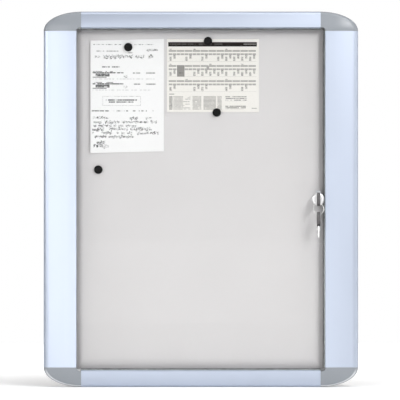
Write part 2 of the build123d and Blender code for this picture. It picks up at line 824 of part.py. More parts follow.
key_planes = {
    "key": Plane((lock_x, -bow_v, lock_z), x_dir=(0, 1, 0), z_dir=(1, 0, 0)),
    "spare_key": Plane((lock_x, -bow_v, spare_z), x_dir=(0, 0, -1), z_dir=(1, 0, 0)),
}
for name, plane in key_planes.items():
    blade = key_blade(plane)
    blade.label = f"{name}_blade"
    export_step(blade, f"parts/{blade.label}.step")
    head = key_head(plane)
    head.label = f"{name}_head"
    export_step(head, f"parts/{head.label}.step")

with BuildPart() as key_ring:
    with BuildSketch(band_plane((1, 0, 0), (lock_x, 0, ring_z))):
        with Locations((ring_radius, bow_v)):
            RectangleRounded(ring_wire_radial, ring_wire_axial, ring_round)
    revolve(axis=Axis((lock_x, 0, ring_z), (0, 1, 0)))
key_ring.part.label = "key_ring"
export_step(key_ring.part, "parts/key_ring.step")



def on_board(spot):
    """Place on the board of a spot given from the top left of the opening."""
    return (spot[0] - opening_width / 2, opening_height / 2 - spot[1])


# Sheets on the board: the notice's sides are upright, but its ends were cut at a slope and rise to the right
notice_right = notice_width / 2
notice_top = notice_height / 2
notice_rise = notice_slope / 2
with BuildPart() as notice_sheet:
    with BuildSketch(Plane.XZ.offset(board_front)):
        with Locations(on_board(notice_spot)):
            Polygon(
                (-notice_right, -notice_top - notice_rise),
                (notice_right, -notice_top + notice_rise),
                (notice_right, notice_top + notice_rise),
                (-notice_right, notice_top - notice_rise),
            )
    extrude(amount=paper_thickness)
notice_sheet.part.label = "notice_sheet"
export_step(notice_sheet.part, "parts/notice_sheet.step")

with BuildPart() as timetable_sheet:
    with BuildSketch(Plane.XZ.offset(board_front)):
        with Locations(on_board(timetable_spot)):
            Rectangle(timetable_width, timetable_height)
    extrude(amount=paper_thickness)
timetable_sheet.part.label = "timetable_sheet"
export_step(timetable_sheet.part, "parts/timetable_sheet.step")

# Magnets: a moulded cap over a ferrite disc, the first three on the sheets
magnet_seats = [board_front + paper_thickness] * 3 + [board_front]
for i, (spot, seat) in enumerate(zip(magnet_spots, magnet_seats), start=1):
    x, z = on_board(spot)
    with BuildPart() as magnet_cap:
        with BuildSketch(facing_front(x, z, seat)):
            Circle(magnet_radius)
        extrude(amount=magnet_height)
        fillet(magnet_cap.faces().sort_by(Axis.Y)[0].edges(), magnet_round)
        with Locations(facing_wall(x, z, seat)):
            Hole(magnet_disc_radius + running_clearance, depth=magnet_disc_height)
    magnet_cap.part.label = f"magnet_cap_{i}"
    export_step(magnet_cap.part, f"parts/magnet_cap_{i}.step")
    with BuildPart() as magnet_disc:
        with BuildSketch(facing_front(x, z, seat)):
            Circle(magnet_disc_radius)
        extrude(amount=magnet_disc_height)
    magnet_disc.part.label = f"magnet_disc_{i}"
    export_step(magnet_disc.part, f"parts/magnet_disc_{i}.step")
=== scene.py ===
"""Looks of the notice board display case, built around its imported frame."""

import logging
import math
from dataclasses import dataclass, field
from enum import Enum
from typing import Any, Mapping, Optional, Sequence, Union

import bmesh
import bpy
from mathutils import Matrix, Vector


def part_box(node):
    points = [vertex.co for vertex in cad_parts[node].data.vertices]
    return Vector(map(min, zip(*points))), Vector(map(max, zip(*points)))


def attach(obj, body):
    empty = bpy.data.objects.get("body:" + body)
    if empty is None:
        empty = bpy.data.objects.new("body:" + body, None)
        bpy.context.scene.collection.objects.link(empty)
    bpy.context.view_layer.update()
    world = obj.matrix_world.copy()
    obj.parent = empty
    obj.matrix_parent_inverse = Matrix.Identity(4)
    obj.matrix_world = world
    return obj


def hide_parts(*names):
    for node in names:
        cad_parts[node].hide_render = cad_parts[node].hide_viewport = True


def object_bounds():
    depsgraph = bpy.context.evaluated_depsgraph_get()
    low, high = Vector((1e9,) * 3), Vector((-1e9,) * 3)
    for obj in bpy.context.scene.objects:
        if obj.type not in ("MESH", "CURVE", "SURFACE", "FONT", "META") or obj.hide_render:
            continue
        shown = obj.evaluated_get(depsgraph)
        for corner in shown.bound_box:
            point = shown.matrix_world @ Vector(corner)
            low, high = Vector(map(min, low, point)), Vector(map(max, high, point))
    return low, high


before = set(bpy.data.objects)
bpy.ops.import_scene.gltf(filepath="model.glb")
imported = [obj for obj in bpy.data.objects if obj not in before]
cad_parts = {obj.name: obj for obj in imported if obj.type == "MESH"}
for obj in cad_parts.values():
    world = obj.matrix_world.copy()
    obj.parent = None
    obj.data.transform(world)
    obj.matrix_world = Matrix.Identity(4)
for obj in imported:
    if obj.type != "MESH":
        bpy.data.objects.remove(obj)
cad_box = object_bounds()

log = logging.getLogger("notice_case")

Pair = tuple[float, float]
Triple = tuple[float, float, float]
Rectangle = tuple[float, float, float, float]
Colour = Triple
Feed = Union["Signal", float, Sequence[float]]
GridPoint = tuple[int, int, int]
Material = bpy.types.Material
MM = 0.001
MAGNET_COUNT = 4
NOTICE_SIZE = (0.201, 0.308)
TIMETABLE_SIZE = (0.2525, 0.200)


def from_screen(red: float, green: float, blue: float) -> Colour:
    """Turns a screen colour into a linear one.

    Args:
        red: Red, from 0 to 255.
        green: Green, from 0 to 255.
        blue: Blue, from 0 to 255.

    Returns:
        The linear colour.
    """

    def linear(value: float) -> float:
        """Undoes the screen's curve for one channel."""
        share = value / 255
        return share / 12.92 if share <= 0.04045 else ((share + 0.055) / 1.055) ** 2.4

    return linear(red), linear(green), linear(blue)


class Signal:
    """A shader socket that takes part in Python expressions."""

    def __init__(self, graph: "NodeGraph", socket: bpy.types.NodeSocket) -> None:
        """Wraps one output socket of a graph."""
        self.graph = graph
        self.socket = socket

    def out(self, name: str) -> "Signal":
        """Another output of the same node."""
        return Signal(self.graph, self.socket.node.outputs[name])

    def __add__(self, other: Feed) -> "Signal":
        """Sum."""
        return self.graph.math("ADD", self, other)

    def __radd__(self, other: Feed) -> "Signal":
        """Sum with a plain number first."""
        return self.graph.math("ADD", other, self)

    def __sub__(self, other: Feed) -> "Signal":
        """Difference."""
        return self.graph.math("SUBTRACT", self, other)

    def __rsub__(self, other: Feed) -> "Signal":
        """Difference with a plain number first."""
        return self.graph.math("SUBTRACT", other, self)

    def __mul__(self, other: Feed) -> "Signal":
        """Product."""
        return self.graph.math("MULTIPLY", self, other)

    def __rmul__(self, other: Feed) -> "Signal":
        """Product with a plain number first."""
        return self.graph.math("MULTIPLY", other, self)

    def __truediv__(self, other: Feed) -> "Signal":
        """Quotient."""
        return self.graph.math("DIVIDE", self, other)

    def __rtruediv__(self, other: Feed) -> "Signal":
        """Quotient with a plain number first."""
        return self.graph.math("DIVIDE", other, self)

    def __gt__(self, other: Feed) -> "Signal":
        """1 where this is the greater, else 0."""
        return self.graph.math("GREATER_THAN", self, other)

    def __lt__(self, other: Feed) -> "Signal":
        """1 where this is the smaller, else 0."""
        return self.graph.math("LESS_THAN", self, other)

    def __abs__(self) -> "Signal":
        """Size without its sign."""
        return self.graph.math("ABSOLUTE", self)

    def floor(self) -> "Signal":
        """Whole part."""
        return self.graph.math("FLOOR", self)

    def part(self) -> "Signal":
        """Part after the whole number."""
        return self.graph.math("FRACT", self)

    def least(self, other: Feed) -> "Signal":
        """Smaller of the two."""
        return self.graph.math("MINIMUM", self, other)

    def most(self, other: Feed) -> "Signal":
        """Larger of the two."""
        return self.graph.math("MAXIMUM", self, other)


class NodeGraph:
    """Node tree that is written as expressions."""

    def __init__(self, tree: bpy.types.NodeTree) -> None:
        """Takes over a node tree and empties it."""
        self.tree = tree
        self.tree.nodes.clear()

    def feed(self, socket: bpy.types.NodeSocket, value: Feed) -> None:
        """Links a signal to a socket, or sets the socket's own value.

        Args:
            socket: Input to feed.
            value: Signal, number, colour or vector.
        """
        if isinstance(value, Signal):
            self.tree.links.new(value.socket, socket)
        elif isinstance(value, (int, float)):
            socket.default_value = value
        else:
            whole = len(socket.default_value)
            socket.default_value = (*value, 1.0)[:whole]

    def node(
        self,
        kind: str,
        settings: Optional[Mapping[str, Any]] = None,
        inputs: Optional[Mapping[str, Feed]] = None,
        output: Optional[str] = None,
    ) -> Optional[Signal]:
        """Adds one node.

        Args:
            kind: Type name of the node.
            settings: Properties, which are set first; "stops" and "interpolation" are a ramp's.
            inputs: Values or links, by socket identifier or name.
            output: Identifier of the output to hand back, the first when left out.

        Returns:
            The node's output, or None for a node at the end of a graph.
        """
        node = self.tree.nodes.new(kind)
        for key, value in (settings or {}).items():
            if key == "stops":
                self._set_stops(node.color_ramp, value)
            elif key == "interpolation":
                node.color_ramp.interpolation = value
            else:
                setattr(node, key, value)
        for key, value in (inputs or {}).items():
            found = [s for s in node.inputs if s.identifier == key]
            found += [s for s in node.inputs if s.name == key]
            self.feed(found[0], value)
        outputs = [s for s in node.outputs if output in (None, s.identifier)]
        return Signal(self, outputs[0]) if outputs else None

    @staticmethod
    def _set_stops(ramp: bpy.types.ColorRamp, stops: Sequence[Pair]) -> None:
        """Gives a ramp its grey stops.

        Args:
            ramp: Ramp of a colour ramp node.
            stops: Place and level of each stop.
        """
        while len(ramp.elements) < len(stops):
            ramp.elements.new(1.0)
        for element, (place, level) in zip(ramp.elements, stops):
            element.position = place
            element.color = (level, level, level, 1.0)

    def math(self, operation: str, *values: Feed) -> Signal:
        """Adds a Math node on one or two values."""
        names = ("Value", "Value_001")
        return self.node("ShaderNodeMath", {"operation": operation}, dict(zip(names, values)))

    def vector(self, operation: str, *values: Feed) -> Signal:
        """Adds a Vector Math node on one or two vectors."""
        names = ("Vector", "Vector_001")
        return self.node("ShaderNodeVectorMath", {"operation": operation}, dict(zip(names, values)))

    def joined(self, x: Feed, y: Feed, z: Feed) -> Signal:
        """Makes a vector of three values."""
        return self.node("ShaderNodeCombineXYZ", None, {"X": x, "Y": y, "Z": z})

    def mix(self, factor: Feed, low: Feed, high: Feed) -> Signal:
        """Mixes two colours."""
        inputs = {"Factor_Float": factor, "A_Color": low, "B_Color": high}
        return self.node("ShaderNodeMix", {"data_type": "RGBA"}, inputs, "Result_Color")

    def ease(self, value: Feed, low: float, high: float) -> Signal:
        """Rises smoothly from 0 to 1.

        Args:
            value: Signal that is eased.
            low: Value up to which the result is 0.
            high: Value from which it is 1.

        Returns:
            The eased signal.
        """
        settings = {"interpolation_type": "SMOOTHSTEP"}
        inputs = {"Value": value, "From Min": low, "From Max": high}
        return self.node("ShaderNodeMapRange", settings, inputs)

    def noise(self, place: Signal, scale: float, detail: float = 2.0, rough: float = 0.5) -> Signal:
        """Adds a cloudy noise from 0 to 1."""
        inputs = {"Vector": place, "Scale": scale, "Detail": detail, "Roughness": rough}
        return self.node("ShaderNodeTexNoise", None, inputs)

    def cells(self, place: Signal, scale: float) -> Signal:
        """Adds the distance to the nearest of scattered points."""
        return self.node("ShaderNodeTexVoronoi", {"feature": "F1"}, {"Vector": place, "Scale": scale})

    def bump(self, height: Signal, strength: float, depth: float) -> Signal:
        """Turns a height from 0 to 1 into a normal, for a relief of the given depth in metres."""
        inputs = {"Height": height, "Strength": strength, "Distance": depth}
        return self.node("ShaderNodeBump", None, inputs)


class FinishGraph(NodeGraph):
    """Node tree of one finish, with a principled shader at its end."""

    def __init__(self, name: str) -> None:
        """Makes a new material.

        Args:
            name: Name of the material.
        """
        self.material = bpy.data.materials.new(name)
        self.material.use_nodes = True
        super().__init__(self.material.node_tree)
        self.shader = self.tree.nodes.new("ShaderNodeBsdfPrincipled")
        output = self.tree.nodes.new("ShaderNodeOutputMaterial")
        self.tree.links.new(self.shader.outputs["BSDF"], output.inputs["Surface"])
        self.place = self.node("ShaderNodeTexCoord", None, None, "Object")
        self.x = self.node("ShaderNodeSeparateXYZ", None, {"Vector": self.place})
        self.y = self.x.out("Y")
        self.z = self.x.out("Z")

    def cloudy(self, scale: float, detail: float = 2.0, rough: float = 0.5) -> Signal:
        """Noise in the part's frame."""
        return self.noise(self.place, scale, detail, rough)

    def drawn(self, scales: Sequence[float], detail: float = 2.0, rough: float = 0.5) -> Signal:
        """Noise in the part's frame, drawn out by a scale of its own on each axis."""
        return self.noise(self.vector("MULTIPLY", self.place, scales), 1.0, detail, rough)

    def done(self, **sockets: Feed) -> Material:
        """Sets the shader's sockets.

        Args:
            sockets: Values or links by socket name, with _ for a space.

        Returns:
            The finished material.
        """
        for name, value in sockets.items():
            self.feed(self.shader.inputs[name.replace("_", " ")], value)
        return self.material


class Grain(Enum):
    """Direction in which a profile was drawn through its die."""

    ACROSS = (3.0, 900.0, 900.0)
    UPRIGHT = (900.0, 900.0, 3.0)


@dataclass(frozen=True)
class AnodisedAluminium:
    """Pale satin anodising over faint extrusion lines."""

    grain: Grain
    pale: Colour = (0.489, 0.537, 0.629)
    deep: Colour = (0.443, 0.490, 0.584)
    roughness: float = 0.43
    streak_share: float = 0.06

    def material(self) -> Material:
        """Builds the finish.

        Returns:
            The material.
        """
        g = FinishGraph(f"anodised_{self.grain.name.lower()}")
        lines = g.drawn(self.grain.value, 3.0, 0.6)
        streaks = g.drawn([self.streak_share * f for f in self.grain.value])
        haze = g.cloudy(7.0)
        specks = g.ease(g.cells(g.place, 260.0), 0.03, 0.09)
        tone = lines * 0.45 + streaks * 0.35 + haze * 0.2
        colour = g.mix(tone, self.deep, self.pale)
        colour = g.mix((1 - specks) * 0.06, colour, (0.35, 0.37, 0.4))
        rough = self.roughness - 0.05 + lines * 0.07 + haze * 0.05
        return g.done(
            Base_Color=colour, Metallic=1.0, Roughness=rough, Normal=g.bump(lines, 0.10, 0.00006)
        )


@dataclass(frozen=True)
class MouldedCover:
    """Grey moulding with a fine eroded grain, paler where it is handled, with a painted highlight on its
    lower bends.
    """

    dark: Colour = from_screen(126, 131, 136)
    pale: Colour = from_screen(137, 141, 147)
    rubbed: Colour = from_screen(168, 172, 177)
    # Colour of the painted highlight along the lower corners' outer bend.
    polished: Colour = from_screen(206, 208, 212)
    depth: float = 0.052
    centre: Pair = (0.3275, 0.460)
    reach: Pair = (0.1025, 0.053)

    def material(self) -> Material:
        """Builds the finish.

        Returns:
            The material.
        """
        g = FinishGraph("cover_moulding")
        grain = g.cloudy(1500.0, 2.0, 0.6)
        pits = g.ease(g.cells(g.place, 1100.0), 0.1, 0.5)
        flow = g.cloudy(16.0, 3.0)
        rim = g.ease(g.y + self.depth, 0.006, 0.02) * (1 - g.ease(g.y + self.depth, 0.02, 0.034))
        worn = rim * g.ease(g.cloudy(60.0, 4.0), 0.45, 0.75)
        colour = g.mix(flow * 0.7 + grain * 0.3, self.dark, self.pale)
        colour = g.mix(worn * 0.5, colour, self.rubbed)
        # Painted highlight: a pale line along the outer bend of the lower corners.
        across = (abs(g.x) - self.centre[0]) / self.reach[0]
        down = (0 - g.z - self.centre[1]) / self.reach[1]
        share = g.math("SQRT", across * across + down * down)
        line = g.ease(share, 0.905, 0.935) * (1 - g.ease(share, 0.955, 0.985)) * g.ease(down, 0.0, 0.35)
        colour = g.mix(line * 0.85, colour, self.polished)
        relief = grain * 0.6 + pits * 0.4
        return g.done(
            Base_Color=colour,
            Roughness=0.52 + grain * 0.12 - worn * 0.1 - line * 0.2,
            Specular_IOR_Level=0.4,
            Coat_Weight=0.35 + rim * 0.6,
            Coat_Roughness=0.16,
            Normal=g.bump(relief, 0.25, 0.00012),
        )


@dataclass(frozen=True)
class CastAlloy:
    """Grey pressure casting with a rough skin and flow marks."""

    dark: Colour = (0.36, 0.37, 0.38)
    pale: Colour = (0.60, 0.61, 0.63)

    def material(self) -> Material:
        """Builds the finish.

        Returns:
            The material.
        """
        g = FinishGraph("cast_alloy")
        skin = g.cloudy(420.0, 4.0, 0.65)
        flow = g.drawn((30.0, 30.0, 70.0), 4.0, 0.6)
        colour = g.mix(flow * 0.6 + skin * 0.4, self.dark, self.pale)
        return g.done(
            Base_Color=colour,
            Metallic=0.85,
            Roughness=0.46 + skin * 0.18,
            Normal=g.bump(skin, 0.35, 0.0003),
        )


class Tooling(Enum):
    """Marks of working on a metal: their scale on each axis, then their detail."""

    POLISHED = (1600.0, 160.0, 1600.0, 3.0)
    TURNED = (260.0, 2600.0, 260.0, 2.0)


@dataclass(frozen=True)
class PlatedMetal:
    """Plated metal with the fine marks of its working and a slight cloudiness."""

    name: str
    pale: Colour
    deep: Colour
    roughness: float
    marks: float
    tooling: Tooling = Tooling.POLISHED

    def material(self) -> Material:
        """Builds the finish.

        Returns:
            The material.
        """
        g = FinishGraph(self.name)
        *scales, detail = self.tooling.value
        fine = g.drawn(scales, detail)
        cloud = g.cloudy(90.0, 3.0, 0.6)
        nicks = g.ease(g.cells(g.place, 340.0), 0.02, 0.07)
        colour = g.mix(cloud * 0.6 + fine * 0.4, self.deep, self.pale)
        colour = g.mix((1 - nicks) * 0.2, colour, self.deep)
        rough = self.roughness + fine * self.marks + cloud * self.marks
        return g.done(
            Base_Color=colour, Metallic=1.0, Roughness=rough, Normal=g.bump(fine, 0.12, 0.00003)
        )


@dataclass(frozen=True)
class BoardLacquer:
    """Pale grey stoved lacquer with orange peel, faint rub marks and painted shade along the edges."""

    pale: Colour = from_screen(219, 217, 217)
    dull: Colour = from_screen(211, 209, 209)
    rub: Colour = from_screen(188, 186, 187)
    # Colour of the painted shade along the edges, in place of the frame lips' shadow.
    dust: Colour = from_screen(121, 118, 119)
    half_width: float = 0.340
    half_height: float = 0.469
    left_shade_narrowing: float = 1.8
    shade_reach: float = 0.038
    shade_share: float = 0.46

    def material(self) -> Material:
        """Builds the finish.

        Returns:
            The material.
        """
        g = FinishGraph("board_lacquer")
        peel = g.cloudy(420.0)
        cloud = g.cloudy(5.0, 3.0)
        smear = g.drawn((46.0, 46.0, 130.0), 5.0, 0.6)
        rubs = g.ease(smear, 0.66, 0.8) * g.ease(g.cloudy(11.0), 0.52, 0.66)
        colour = g.mix(cloud, self.dull, self.pale)
        colour = g.mix(rubs * 0.3, colour, self.rub)
        # Painted shade: a darker band along the opening's edges, narrower at the left, for the shadow of
        # the frame's lips.
        beside = (self.half_width - g.x).least((g.x + self.half_width) * self.left_shade_narrowing)
        inward = beside.least(self.half_height - abs(g.z))
        lip_shade = 1 - g.ease(inward + smear * 0.004, 0.0, self.shade_reach)
        colour = g.mix(lip_shade * self.shade_share, colour, self.dust)
        return g.done(
            Base_Color=colour,
            Roughness=0.42 + cloud * 0.08 - rubs * 0.1 + lip_shade * 0.2,
            Specular_IOR_Level=0.35,
            Normal=g.bump(peel, 0.12, 0.0001),
        )


@dataclass(frozen=True)
class Fibreboard:
    """Brown hardboard with the cross mesh of its pressing screen and short fibres."""

    dark: Colour = (0.150, 0.088, 0.045)
    pale: Colour = (0.315, 0.205, 0.115)
    mesh_pitch: float = 0.0026

    def material(self) -> Material:
        """Builds the finish.

        Returns:
            The material.
        """
        g = FinishGraph("fibreboard")
        turns = 2 * math.pi / self.mesh_pitch
        wobble = g.cloudy(35.0) * 3.0
        across = g.math("SINE", g.x * turns + wobble)
        upright = g.math("SINE", g.z * turns + wobble)
        screen = across * upright * 0.5 + 0.5
        fibre = g.drawn((420.0, 420.0, 90.0), 5.0, 0.7)
        stain = g.cloudy(6.0, 4.0, 0.6)
        colour = g.mix(fibre * 0.55 + stain * 0.3 + screen * 0.15, self.dark, self.pale)
        relief = screen * 0.7 + fibre * 0.3
        return g.done(
            Base_Color=colour,
            Roughness=0.72 + fibre * 0.2,
            Specular_IOR_Level=0.25,
            Normal=g.bump(relief, 0.5, 0.0003),
        )


@dataclass(frozen=True)
class SealRubber:
    """Soft grey-black rubber with a dry bloom."""

    deep: Colour = (0.130, 0.127, 0.128)
    bloom: Colour = (0.235, 0.230, 0.230)

    def material(self) -> Material:
        """Builds the finish.

        Returns:
            The material.
        """
        g = FinishGraph("seal_rubber")
        dust = g.cloudy(55.0, 5.0, 0.65)
        skin = g.cloudy(1900.0)
        colour = g.mix(g.ease(dust, 0.3, 0.75), self.deep, self.bloom)
        return g.done(
            Base_Color=colour,
            Roughness=0.62 + dust * 0.25,
            Specular_IOR_Level=0.3,
            Normal=g.bump(skin, 0.25, 0.0001),
        )


@dataclass(frozen=True)
class ClearAcrylic:
    """Clear polished pane: nearly nothing face on, brighter at its sawn edges and at a flat angle."""

    left: float
    right: float
    top: float
    clear: float = 0.037
    gloss: float = 0.85
    edge: float = 0.42

    def material(self) -> Material:
        """Builds the finish.

        Returns:
            The material.
        """
        g = FinishGraph("clear_acrylic")
        inward = (g.x - self.left).least(self.right - g.x).least(self.top - abs(g.z))
        rim = 1 - g.ease(inward, 0.0, 0.0012)
        smudge = g.ease(g.cloudy(9.0, 5.0, 0.62), 0.55, 0.85)
        mirror = (g.node("ShaderNodeFresnel", None, {"IOR": 1.49}) - self.clear).most(0.0) * self.gloss
        saw = g.drawn((1500.0, 60.0, 1500.0))
        return g.done(
            Base_Color=g.mix(rim, (0.96, 0.97, 0.97), (0.70, 0.83, 0.82)),
            Metallic=1 - rim,
            Roughness=0.03 + smudge * 0.06 + rim * 0.25,
            Alpha=(mirror + smudge * 0.004).most(rim * (self.edge - 0.1 + saw * 0.2)),
        )


@dataclass(frozen=True)
class NaturalNylon:
    """Cream nylon of the pivot bushes, slightly mottled."""

    pale: Colour = (0.72, 0.69, 0.60)
    deep: Colour = (0.55, 0.51, 0.42)

    def material(self) -> Material:
        """Builds the finish.

        Returns:
            The material.
        """
        g = FinishGraph("natural_nylon")
        mottle = g.cloudy(300.0, 3.0)
        return g.done(
            Base_Color=g.mix(mottle, self.deep, self.pale),
            Roughness=0.4 + mottle * 0.15,
            Normal=g.bump(mottle, 0.15, 0.0001),
        )


@dataclass(frozen=True)
class KeyMoulding:
    """Dark grey loop of a key, mottled by wear, with painted shade that blackens its lower end."""

    name: str
    middle: float
    grey: Colour = from_screen(96, 94, 94)
    dark: Colour = from_screen(66, 64, 65)
    # Colour of the painted shade at the loop's lower end.
    black: Colour = from_screen(16, 15, 15)
    end: float = 0.0142

    def material(self) -> Material:
        """Builds the finish.

        Returns:
            The material.
        """
        g = FinishGraph(self.name)
        mottle = g.cloudy(420.0, 4.0, 0.65)
        grain = g.cloudy(2400.0)
        # Painted shade: the loop turns black below a set distance under its middle.
        lower = 1 - g.ease(g.z, self.middle - self.end - 0.0012, self.middle - self.end)
        colour = g.mix(g.ease(mottle, 0.3, 0.7), self.dark, self.grey)
        return g.done(
            Base_Color=g.mix(lower, colour, self.black),
            Roughness=0.45 + grain * 0.2,
            Normal=g.bump(grain, 0.2, 0.0001),
        )


@dataclass(frozen=True)
class BlackMoulding:
    """Black cap of a magnet with a fine skin and small scuffs."""

    deep: Colour = (0.006, 0.006, 0.006)
    scuffed: Colour = from_screen(42, 41, 42)

    def material(self) -> Material:
        """Builds the finish.

        Returns:
            The material.
        """
        g = FinishGraph("magnet_moulding")
        skin = g.cloudy(1300.0, 3.0)
        scuff = g.ease(g.drawn((500.0, 500.0, 160.0), 4.0, 0.7), 0.62, 0.8)
        return g.done(
            Base_Color=g.mix(scuff * 0.6, self.deep, self.scuffed),
            Roughness=0.34 + skin * 0.16 + scuff * 0.2,
            Specular_IOR_Level=0.12,
            Normal=g.bump(skin, 0.15, 0.0001),
        )


@dataclass(frozen=True)
class GroundFerrite:
    """Dull grey-black ferrite with a ground face."""

    deep: Colour = (0.028, 0.028, 0.030)
    pale: Colour = (0.085, 0.085, 0.090)

    def material(self) -> Material:
        """Builds the finish.

        Returns:
            The material.
        """
        g = FinishGraph("ground_ferrite")
        grind = g.drawn((2200.0, 200.0, 220.0), 3.0)
        return g.done(
            Base_Color=g.mix(grind, self.deep, self.pale),
            Metallic=0.3,
            Roughness=0.5 + grind * 0.2,
            Normal=g.bump(grind, 0.2, 0.0001),
        )


@dataclass(frozen=True)
class PlainPaper:
    """Uncoated paper with a faint fibre cloud."""

    name: str
    pale: Colour
    warm: Colour

    def sheet(self, g: FinishGraph, ink: Optional[Signal], tone: Colour) -> Material:
        """Completes a paper with its print.

        Args:
            g: Graph of the finish.
            ink: Share of ink over the sheet, or None for a bare one.
            tone: Colour of the ink.

        Returns:
            The finished material.
        """
        fibre = g.cloudy(900.0, 4.0, 0.7)
        cloud = g.cloudy(60.0, 3.0)
        colour = g.mix(cloud * 0.5 + fibre * 0.5, self.warm, self.pale)
        if ink is not None:
            colour = g.mix(ink, colour, tone)
        return g.done(
            Base_Color=colour,
            Roughness=0.82 + fibre * 0.1,
            Specular_IOR_Level=0.2,
            Normal=g.bump(fibre, 0.12, 0.00005),
        )

    def material(self) -> Material:
        """Builds the bare paper."""
        return self.sheet(FinishGraph(self.name), None, (0.0, 0.0, 0.0))


@dataclass(frozen=True)
class RowBlock:
    """Block of greeked rows on a sheet, in millimetres from the sheet's top left.

    The rows lie one pitch apart, and fill is the inked share of it. Word is the usual length of a
    word, cover says how little room is left between words, and shade is the strength of the ink.
    """

    left: float
    top: float
    right: float
    bottom: float
    pitch: float = 1.0
    fill: float = 1.0
    word: float = 1.0
    cover: float = 1.0
    shade: float = 1.0

    @property
    def box(self) -> Rectangle:
        """Left, top, right and bottom."""
        return self.left, self.top, self.right, self.bottom


@dataclass(frozen=True)
class ScriptRow:
    """One loose pen line on a sheet, in millimetres from the sheet's top left."""

    left: float
    right: float
    middle: float
    swing: float
    shade: float
    room: float = 12.0

    @property
    def box(self) -> Rectangle:
        """Left, top, right and bottom of the room that its strokes may take."""
        return self.left, self.middle - self.room, self.right, self.middle + self.room


@dataclass(frozen=True)
class PrintLayout:
    """Draws greeked rows, pen lines, bars and frames on a sheet."""

    g: FinishGraph
    a: Signal
    b: Signal

    def within(self, left: float, top: float, right: float, bottom: float) -> Signal:
        """1 inside a rectangle, else 0."""
        across = (self.a > left) * (self.a < right)
        return across * (self.b > top) * (self.b < bottom)

    def flecks(self, x: Feed, y: Feed, seed: float, detail: float) -> Signal:
        """Noise over two measures, different for each seed."""
        return self.g.noise(self.g.joined(x, y, seed), 1.0, detail)

    def rows(self, block: RowBlock, seed: float) -> Signal:
        """Rows of word-long bars, broken up so that they read as small print from afar.

        Args:
            block: Place and look of the rows.
            seed: Number that makes the block's words its own.

        Returns:
            The share of ink.
        """
        steps = (self.b - block.top) / block.pitch
        line = steps.floor()
        words = self.flecks(self.a / block.word, line * 5.17, seed, 1.0)
        letters = self.flecks(self.a * 0.5, line * 7.3, seed, 2.0)
        ink = (steps.part() < block.fill) * self.g.ease(words, 0.54 - block.cover, 0.6 - block.cover)
        ink = ink * (0.3 + 0.7 * self.g.ease(letters, 0.34, 0.46))
        return ink * self.within(*block.box) * block.shade

    def script(self, row: ScriptRow, seed: float) -> Signal:
        """One row of curling pen strokes, leaning, in words.

        Args:
            row: Place and look of the row.
            seed: Number that makes its strokes its own.

        Returns:
            The share of ink.
        """
        slant = self.a + self.b * 0.45
        curls = self.flecks(slant * 0.34, self.b * 0.2, seed, 1.0)
        gaps = self.flecks(self.a * 0.07, row.middle * 3.3, seed, 0.0)
        tall = self.flecks(slant * 0.16, row.middle, seed + 4.0, 0.0)
        drift = self.flecks(self.a * 0.02, row.middle, seed, 0.0)
        away = abs(self.b - row.middle - (drift - 0.5) * 5.0) / row.swing
        reach = 1 - self.g.ease(away - self.g.ease(tall, 0.5, 0.7) * 1.1, 0.75, 1.05)
        stroke = 1 - self.g.ease(abs(curls - 0.5), 0.035, 0.085)
        run = self.within(*row.box)
        return stroke * reach * run * self.g.ease(gaps, 0.36, 0.42) * row.shade

    def outline(self, block: RowBlock, line: float) -> Signal:
        """Thin dotted frame round a block.

        Args:
            block: Block that the frame encloses.
            line: Width of the frame.

        Returns:
            The share of ink.
        """
        left, top, right, bottom = block.box
        inner = self.within(left + line, top + line, right - line, bottom - line)
        dots = self.flecks(self.a * 0.5, self.b * 0.5, 3.0, 2.0)
        return (self.within(*block.box) - inner) * self.g.ease(dots, 0.4, 0.6) * block.shade

    def columns(self, band: RowBlock, count: int, width: float) -> Signal:
        """Row of equal bars over a number of columns.

        Args:
            band: Band that the bars fill.
            count: Number of bars.
            width: Share of a column that its bar takes.

        Returns:
            The share of ink.
        """
        pitch = (band.right - band.left) / count
        place = ((self.a - band.left) / pitch).part()
        row = self.within(*band.box)
        flecks = self.flecks(self.a * 0.9, self.b * 1.2, band.top, 2.0)
        return row * (place < width) * (0.7 + self.g.ease(flecks, 0.3, 0.6) * 0.3) * band.shade

    def cells(self, band: RowBlock, filled: str, spot: float, seed: float) -> Signal:
        """Small heaps of figures under some of the columns.

        Args:
            band: Band in which the heaps stand.
            filled: One sign for each column, "x" where it has a heap.
            spot: Place of a heap across its column, from 0 to 1.
            seed: Number that makes this band's figures its own.

        Returns:
            The share of ink.
        """
        steps = (self.a - band.left) / ((band.right - band.left) / len(filled))
        stops = [(i / len(filled), float(sign == "x")) for i, sign in enumerate(filled)]
        ramp = {"stops": stops, "interpolation": "CONSTANT"}
        there = self.g.node("ShaderNodeValToRGB", ramp, {"Fac": (steps.floor() + 0.5) / len(filled)})
        heap = 1 - abs(steps.part() - spot) / 0.17
        lines = ((self.b - band.top) / band.pitch).part() < band.fill
        figures = self.flecks(self.a * 0.8, self.b * 1.1, seed, 1.0)
        ink = self.g.ease(heap, 0.0, 0.4) * lines * self.g.ease(figures, 0.36, 0.5) * there
        return ink * self.within(*band.box) * band.shade


